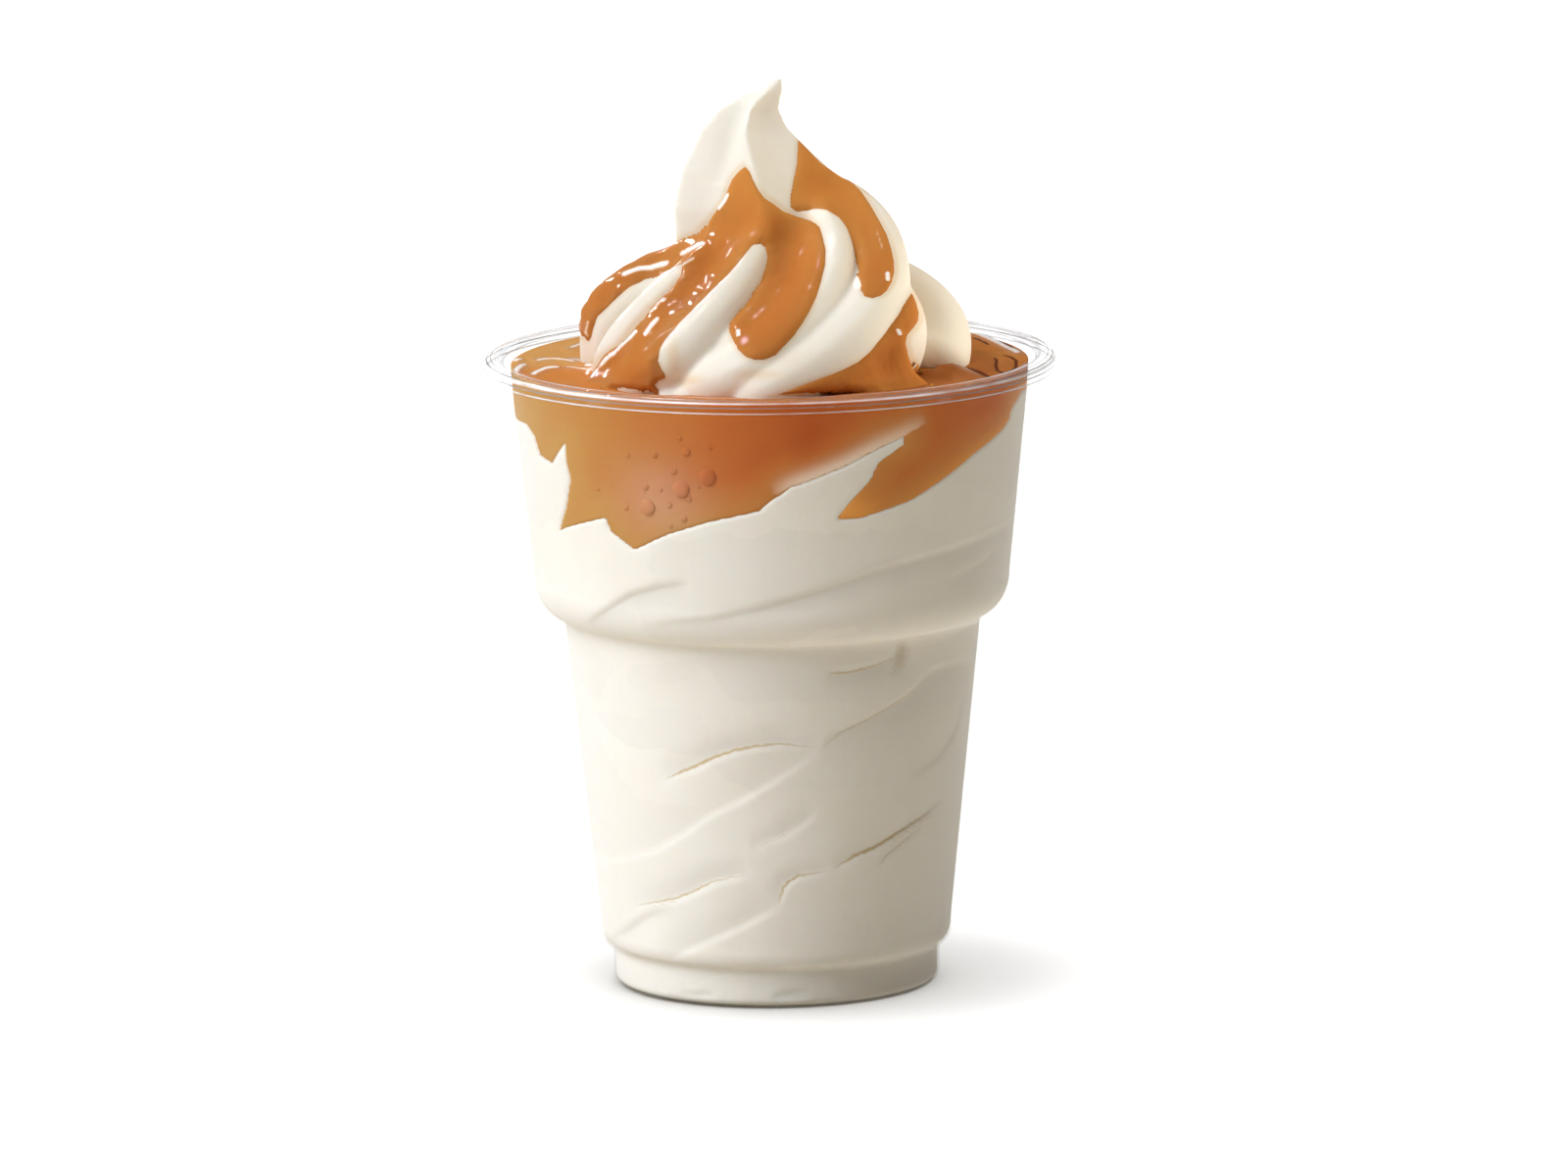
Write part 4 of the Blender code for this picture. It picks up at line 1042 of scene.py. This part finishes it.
def peak_mesh():
    """The leaning, fluted peak: a turned body whose sides are drawn in and whose rings are moved over."""
    rings = [(radius, height) for height, _, radius in PEAK[::-1]]
    profile = [(0.0, PEAK[-1][0])] + rings + [(0.0, PEAK[0][0])]
    mesh = to_mesh("peak", spun(profile, PEAK_STEPS, PEAK_SPACING))
    points = places(mesh)
    order = np.array(PEAK[::-1])
    wave = np.abs(np.sin(np.radians(bearings_of(points)) * PEAK_FLUTES / 2))
    points[:, :2] *= (1 + FLUTE_DEPTH * ((1 - wave) ** FLUTE_SHARPNESS - FLUTE_MIDDLE))[:, None]
    points[:, 0] += np.interp(points[:, 2], order[:, 0], order[:, 1])
    put_places(mesh, points)
    return mesh


def swirl_blocks():
    bm = bmesh.new()
    for arm in ARMS:
        bm.from_mesh(arm_mesh(arm))
    bm.from_mesh(peak_mesh())
    for right, front, height, radius in CORE:
        made = bmesh.ops.create_uvsphere(bm, u_segments=64, v_segments=32, radius=radius * MM)
        bmesh.ops.translate(bm, vec=Vector((right, -front, POOL_HEIGHT + height)) * MM, verts=made["verts"])
    return to_mesh("swirl_blocks", bm)


def with_modifier(mesh, kind, **settings):
    """A new mesh: the given one as a modifier leaves it."""
    holder = bpy.data.objects.new("holder", mesh)
    bpy.context.scene.collection.objects.link(holder)
    modifier = holder.modifiers.new("step", kind)
    for key, value in settings.items():
        setattr(modifier, key, value)
    bpy.context.view_layer.update()
    result = bpy.data.meshes.new_from_object(holder.evaluated_get(bpy.context.evaluated_depsgraph_get()))
    bpy.data.objects.remove(holder)
    return result


def as_seen(points):
    """Points as the front view shows them: right of the axis, up from the pool's middle."""
    tilt = math.radians(VIEW_TILT)
    over = points[:, 2] - POOL_HEIGHT
    up = over * math.cos(tilt) + points[:, 1] * math.sin(tilt)
    nearness = over * math.sin(tilt) - points[:, 1] * math.cos(tilt)
    return np.stack([points[:, 0], up], axis=1) / (1 - nearness / VIEW_DISTANCE)[:, None]


def drizzle_depth(points):
    """How far inside the drizzle's outline each point of the swirl lies, negative outside."""
    drawn = as_seen(points)
    front = [outline_distance(drawn, np.array(outline)) for outline in FRONT_DRIZZLE]
    front[2] = np.minimum(front[2], LOBE_FRONT - points[:, 1])
    back = [outline_distance(drawn, np.array(outline)) for outline in BACK_DRIZZLE]
    return np.where(points[:, 1] < FRONT_HALF, np.max(front, axis=0), np.max(back, axis=0))


def cut_level(mesh, height):
    """The mesh cut off level and closed at a height."""
    bm = bmesh.new()
    bm.from_mesh(mesh)
    everything = bm.verts[:] + bm.edges[:] + bm.faces[:]
    plane = {"plane_co": (0, 0, height * MM), "plane_no": (0, 0, 1), "clear_inner": True}
    cut = bmesh.ops.bisect_plane(bm, geom=everything, dist=1e-7, **plane)
    rim = [part for part in cut["geom_cut"] if isinstance(part, bmesh.types.BMEdge)]
    bmesh.ops.contextual_create(bm, geom=rim)
    bmesh.ops.triangulate(bm, faces=[face for face in bm.faces if len(face.verts) > 4])
    bmesh.ops.recalc_face_normals(bm, faces=bm.faces)
    return to_mesh("cut_swirl", bm)


def make_swirl_body():
    """The swirl as one skin, with the groove in its peak, cut off level a little under the pool."""
    body = remeshed(swirl_blocks(), SWIRL_SOFTENING)
    points = places(body)
    nearest, _, share = to_line(as_seen(points), GROOVE)
    sunk = GROOVE_DEPTH * faded(share) * np.exp(-((nearest / GROOVE_WIDTH) ** 2)) * (points[:, 1] < 0)
    put_places(body, points - normals_of(body) * sunk[:, None])
    return cut_level(body, SWIRL_BOTTOM)


def streak_light(points):
    """How near the drizzle's points lie to one of its painted streaks of highlight, from 0 to 1."""
    drawn = as_seen(points)
    light = np.zeros(len(points))
    for line, tone in STREAKS:
        nearest, _, share = to_line(drawn, line)
        near = np.clip(1 - nearest / STREAK_REACH, 0, 1)
        light = np.maximum(light, tone * whole(share + STREAK_SHIFT) * near)
    return light * (points[:, 1] < FRONT_HALF)


def grown(mesh, distance):
    """The mesh with every point moved out along its normal."""
    copy = mesh.copy()
    put_places(copy, places(mesh) + normals_of(mesh) * distance)
    return copy


def remeshed(mesh, softening):
    """The mesh as one even skin, smoothed."""
    mesh = with_modifier(mesh, "REMESH", mode="VOXEL", voxel_size=SWIRL_VOXEL * MM)
    return with_modifier(mesh, "SMOOTH", factor=0.5, iterations=softening)


def flooded(body):
    """The swirl standing in a slab that reaches up to the pool's level."""
    bm = bmesh.new()
    bm.from_mesh(body)
    slab = {"radius1": FLOODED_RADIUS * MM, "radius2": FLOODED_RADIUS * MM, "depth": 3 * MM}
    made = bmesh.ops.create_cone(bm, segments=96, cap_ends=True, **slab)
    bmesh.ops.translate(bm, vec=(0, 0, (POOL_HEIGHT - 1.5) * MM), verts=made["verts"])
    return remeshed(to_mesh("flooded", bm), 2)


def held(value):
    """The value, held between 0 and 1."""
    return min(max(value, 0), 1)


def make_drizzle(body):
    """The drizzle: a skin that bridges the swirl's valleys and runs into the pool, thin at its edge."""
    ground = flooded(body)
    wide = remeshed(grown(ground, VALLEY_RADIUS), 30)
    skin = with_modifier(grown(wide, DRIZZLE_RELIEF - VALLEY_RADIUS), "SMOOTH", factor=0.5, iterations=10)
    points = places(skin)
    inside = drizzle_depth(points)
    over_pool = (points[:, 2] - POOL_HEIGHT - DRIZZLE_RELIEF - 0.1) / FLOOD_FADE * DRIZZLE_SHOULDER
    inside = np.minimum(inside, over_pool)
    kept = inside > -DRIZZLE_MARGIN
    share = np.sqrt(1 - (1 - np.clip(inside / DRIZZLE_SHOULDER, 0, 1)) ** 2)
    tree = BVHTree.FromPolygons([v.co for v in ground.vertices], [list(p.vertices) for p in ground.polygons])
    bm = bmesh.new()
    bm.from_mesh(skin)
    bm.verts.ensure_lookup_table()
    inwards = -normals_of(skin)
    for index in np.flatnonzero(kept & (share < 1)):
        vert = bm.verts[index]
        way = Vector(inwards[index])
        _, _, _, gap = tree.ray_cast(vert.co, way, 2 * VALLEY_RADIUS * MM)
        gap = DRIZZLE_RELIEF * MM if gap is None else gap
        vert.co = vert.co + way * (gap + DRIZZLE_DIP * MM) * (1 - share[index])
    bare = [bm.verts[i] for i in np.flatnonzero(~kept)]
    bmesh.ops.delete(bm, geom=bare, context="VERTS")
    tone = bm.verts.layers.float.new("depth")
    gloss = bm.verts.layers.float.new("gloss")
    glow = bm.verts.layers.float.new("glow")
    crest = bm.verts.layers.float.new("crest")
    bm.normal_update()
    for vert, value, light in zip(bm.verts, inside[kept], streak_light(points)[kept]):
        wet = held((WET_START - vert.co.x / MM) / WET_SPAN) * held(1.5 - value / WET_EDGE)
        vert[tone] = DRIZZLE_TONE[0] + DRIZZLE_TONE[1] * held(value / DRIZZLE_MIDDLE)
        vert[glow] = DRIZZLE_GLOW[0] + DRIZZLE_GLOW[1] * held((vert.co.z / MM - GLOW_START) / GLOW_SPAN)
        vert[gloss] = DRIZZLE_GLOSS[0] + DRIZZLE_GLOSS[1] * wet
        # painted highlight along the drizzle's streaks
        vert[crest] = light
        ripple = noise.noise(vert.co / (RIPPLE_SIZE * MM)) * RIPPLE * MM
        vert.co += vert.normal * (ripple * (0.3 + wet) * held(value) + STREAK_RISE * MM * light)
    thick = {"thickness": DRIZZLE_THICKNESS * MM, "offset": -1.0}
    closed = with_modifier(to_mesh("drizzle_skin", bm), "SOLIDIFY", **thick)
    return piece("caramel_drizzle", closed, caramel("caramel_drizzle"))


def make_swirl():
    body = make_swirl_body()
    drizzle = make_drizzle(body)
    points = places(body)
    drawn = as_seen(points)
    outside = np.minimum(drizzle_depth(points), 0)
    stain = EDGE_STAIN * np.exp(-((outside / EDGE_STAIN_REACH) ** 2))
    for right, up, reach, rise, strength in STAINS:
        smear = np.hypot((drawn[:, 0] - right) / reach, (drawn[:, 1] - up) / rise)
        stain = np.maximum(stain, strength * np.exp(-(smear**2)) * (points[:, 1] < 0))
    put_attributes(body, stain=stain)
    # painted shade: how far each point lies sunk in a hollow of the swirl
    even = with_modifier(body, "SMOOTH", factor=0.5, iterations=SHADED_SOFTENING)
    sunk = np.sum((places(even) - points) * normals_of(body), axis=1)
    put_attributes(body, hollow=np.clip(sunk / SHADED_DEPTH, 0, 1))
    swirl = piece("soft_serve", body, swirl_ice_cream(), "soft_serve_swirl")
    return [swirl, drizzle]


def make_bubbles():
    """Air bubbles where the caramel meets the wall, as shallow domes."""
    walls = np.array(moved_in(wall_profile(), WALL - INTO_WALL)[5:])
    bm = bmesh.new()
    for bearing, height, radius in BUBBLES:
        made = bmesh.ops.create_icosphere(bm, subdivisions=3, radius=radius * MM)
        bmesh.ops.scale(bm, vec=(1, BUBBLE_FLATNESS, 1), verts=made["verts"])
        wall = float(np.interp(height, walls[:, 1], walls[:, 0]))
        bmesh.ops.translate(bm, vec=(0, -wall * MM, height * MM), verts=made["verts"])
        turn = Matrix.Rotation(math.radians(bearing), 3, "Z")
        bmesh.ops.rotate(bm, cent=(0, 0, 0), matrix=turn, verts=made["verts"])
    mesh = to_mesh("air_bubbles", bm)
    points = places(mesh)
    tone = wall_tone(points, sauce_depth(points)) + BUBBLE_TONE
    gloss = np.full(len(points), BUBBLE_GLOSS)
    put_attributes(mesh, depth=tone, film=sauce_film(points) * BUBBLE_FILM, gloss=gloss)
    return piece("air_bubbles", mesh, caramel("air_bubbles"))


def make_floor():
    bm = bmesh.new()
    bmesh.ops.create_grid(bm, x_segments=8, y_segments=8, size=8.0)
    mesh = to_mesh("floor", bm)
    mesh.materials.append(floor_paint())
    floor = bpy.data.objects.new("floor", mesh)
    bpy.context.scene.collection.objects.link(floor)
    return floor


def make_camera():
    elevation = math.radians(CAMERA_ELEVATION)
    back = Vector((0.0, -math.cos(elevation), math.sin(elevation)))
    place = CAMERA_TARGET + back * CAMERA_DISTANCE
    look = (-back).to_track_quat("-Z", "Y").to_matrix().to_4x4()
    roll = Matrix.Rotation(math.radians(CAMERA_ROLL), 4, "Z")
    camera = bpy.data.objects.new("camera", bpy.data.cameras.new("camera"))
    camera.matrix_world = Matrix.Translation(place) @ look @ roll
    camera.data.lens = CAMERA_LENS
    camera.data.sensor_width = 36.0
    camera.data.clip_end = 30.0
    bpy.context.scene.collection.objects.link(camera)
    bpy.context.scene.camera = camera


def make_light(kind, name, strength, colour, things, state="INCLUDE"):
    """A light that reaches only some things, or all but them."""
    light = bpy.data.lights.new(name, kind)
    light.energy = strength
    light.color = colour
    holder = bpy.data.objects.new(name, light)
    bpy.context.scene.collection.objects.link(holder)
    reached = bpy.data.collections.new(name + "_reach")
    for thing in things:
        reached.objects.link(thing)
    for entry in reached.collection_objects:
        entry.light_linking.link_state = state
    holder.light_linking.receiver_collection = reached
    return holder


def make_sun(name, bearing, elevation, angle, strength, colour, things, state="INCLUDE"):
    """A soft sun at a bearing and an elevation."""
    turn = math.radians(bearing)
    rise = math.radians(elevation)
    level = math.cos(rise)
    towards = Vector((math.sin(turn) * level, -math.cos(turn) * level, math.sin(rise)))
    sun = make_light("SUN", name, strength, colour, things, state)
    sun.data.angle = math.radians(angle)
    sun.rotation_euler = towards.to_track_quat("Z", "Y").to_euler()
    sun.visible_glossy = angle < GLINT_ANGLE
    return sun


def make_lamp(name, place, size, power, colour, things):
    """A small soft lamp close by that doesn't show in reflections."""
    lamp = make_light("POINT", name, power, colour, things)
    lamp.data.shadow_soft_size = size * MM
    lamp.location = Vector(place) * MM
    lamp.visible_glossy = False


def make_lights(floor, sauce, swirl):
    """Keys and top lights, apart for the cup and the swirl, fills, glints and the floor's own lights."""
    others = [floor] + swirl
    make_sun("body_key", -66, 40, 45, 3.5, (0.90, 0.97, 1.12), others, "EXCLUDE")
    make_sun("body_top", 0, 80, 35, 1.25, WARM, others, "EXCLUDE")
    low = make_sun("body_low", 60, -60, 60, 0.12, WARM, others, "EXCLUDE")
    low.light_linking.blocker_collection = low.light_linking.receiver_collection
    make_sun("swirl_key", -66, 40, 40, 2.8, (0.93, 0.98, 1.07), swirl)
    make_sun("swirl_top", 15, 80, 35, 0.6, WARM, swirl)
    make_sun("swirl_fill", 100, 26, 50, 1.3, (1.0, 0.93, 0.82), swirl)
    make_lamp("swirl_lamp", (66, -22, 108), 20, 0.042, (1.0, 0.93, 0.80), swirl)
    make_sun("sauce_fill", 55, 20, 60, 0.5, (1.0, 0.8, 0.5), [sauce])
    for name, bearing, elevation, strength in SPARKS:
        spark = make_sun(name, bearing, elevation, SPARK_ANGLE, strength, WHITE, [floor], "EXCLUDE")
        spark.visible_diffuse = False
    make_sun("floor_top", 0, 88, 110, 4.2, WHITE, [floor])
    make_sun("floor_side", -75, 84, 16, 1.0, WHITE, [floor])


def make_sky():
    """A plain pale sky that is dimmer in reflections and lights nothing by itself."""
    world = bpy.data.worlds.new("studio")
    bpy.context.scene.world = world
    world.use_nodes = True
    world.cycles_visibility.diffuse = False
    nodes = world.node_tree.nodes
    nodes["Background"].inputs["Color"].default_value = SKY
    path = nodes.new("ShaderNodeLightPath")
    strength = nodes.new("ShaderNodeMath")
    strength.operation = "MULTIPLY_ADD"
    strength.inputs[1].default_value = -SKY_LESS_IN_GLOSS
    strength.inputs[2].default_value = SKY_STRENGTH
    world.node_tree.links.new(path.outputs["Is Glossy Ray"], strength.inputs[0])
    world.node_tree.links.new(strength.outputs[0], nodes["Background"].inputs["Strength"])
    bpy.context.scene.view_settings.view_transform = "Standard"


make_camera()
make_cup()
make_ice_cream_body()
sauce = make_caramel_sauce()
swirl = make_swirl()
make_bubbles()
make_lights(make_floor(), sauce, swirl)
make_sky()
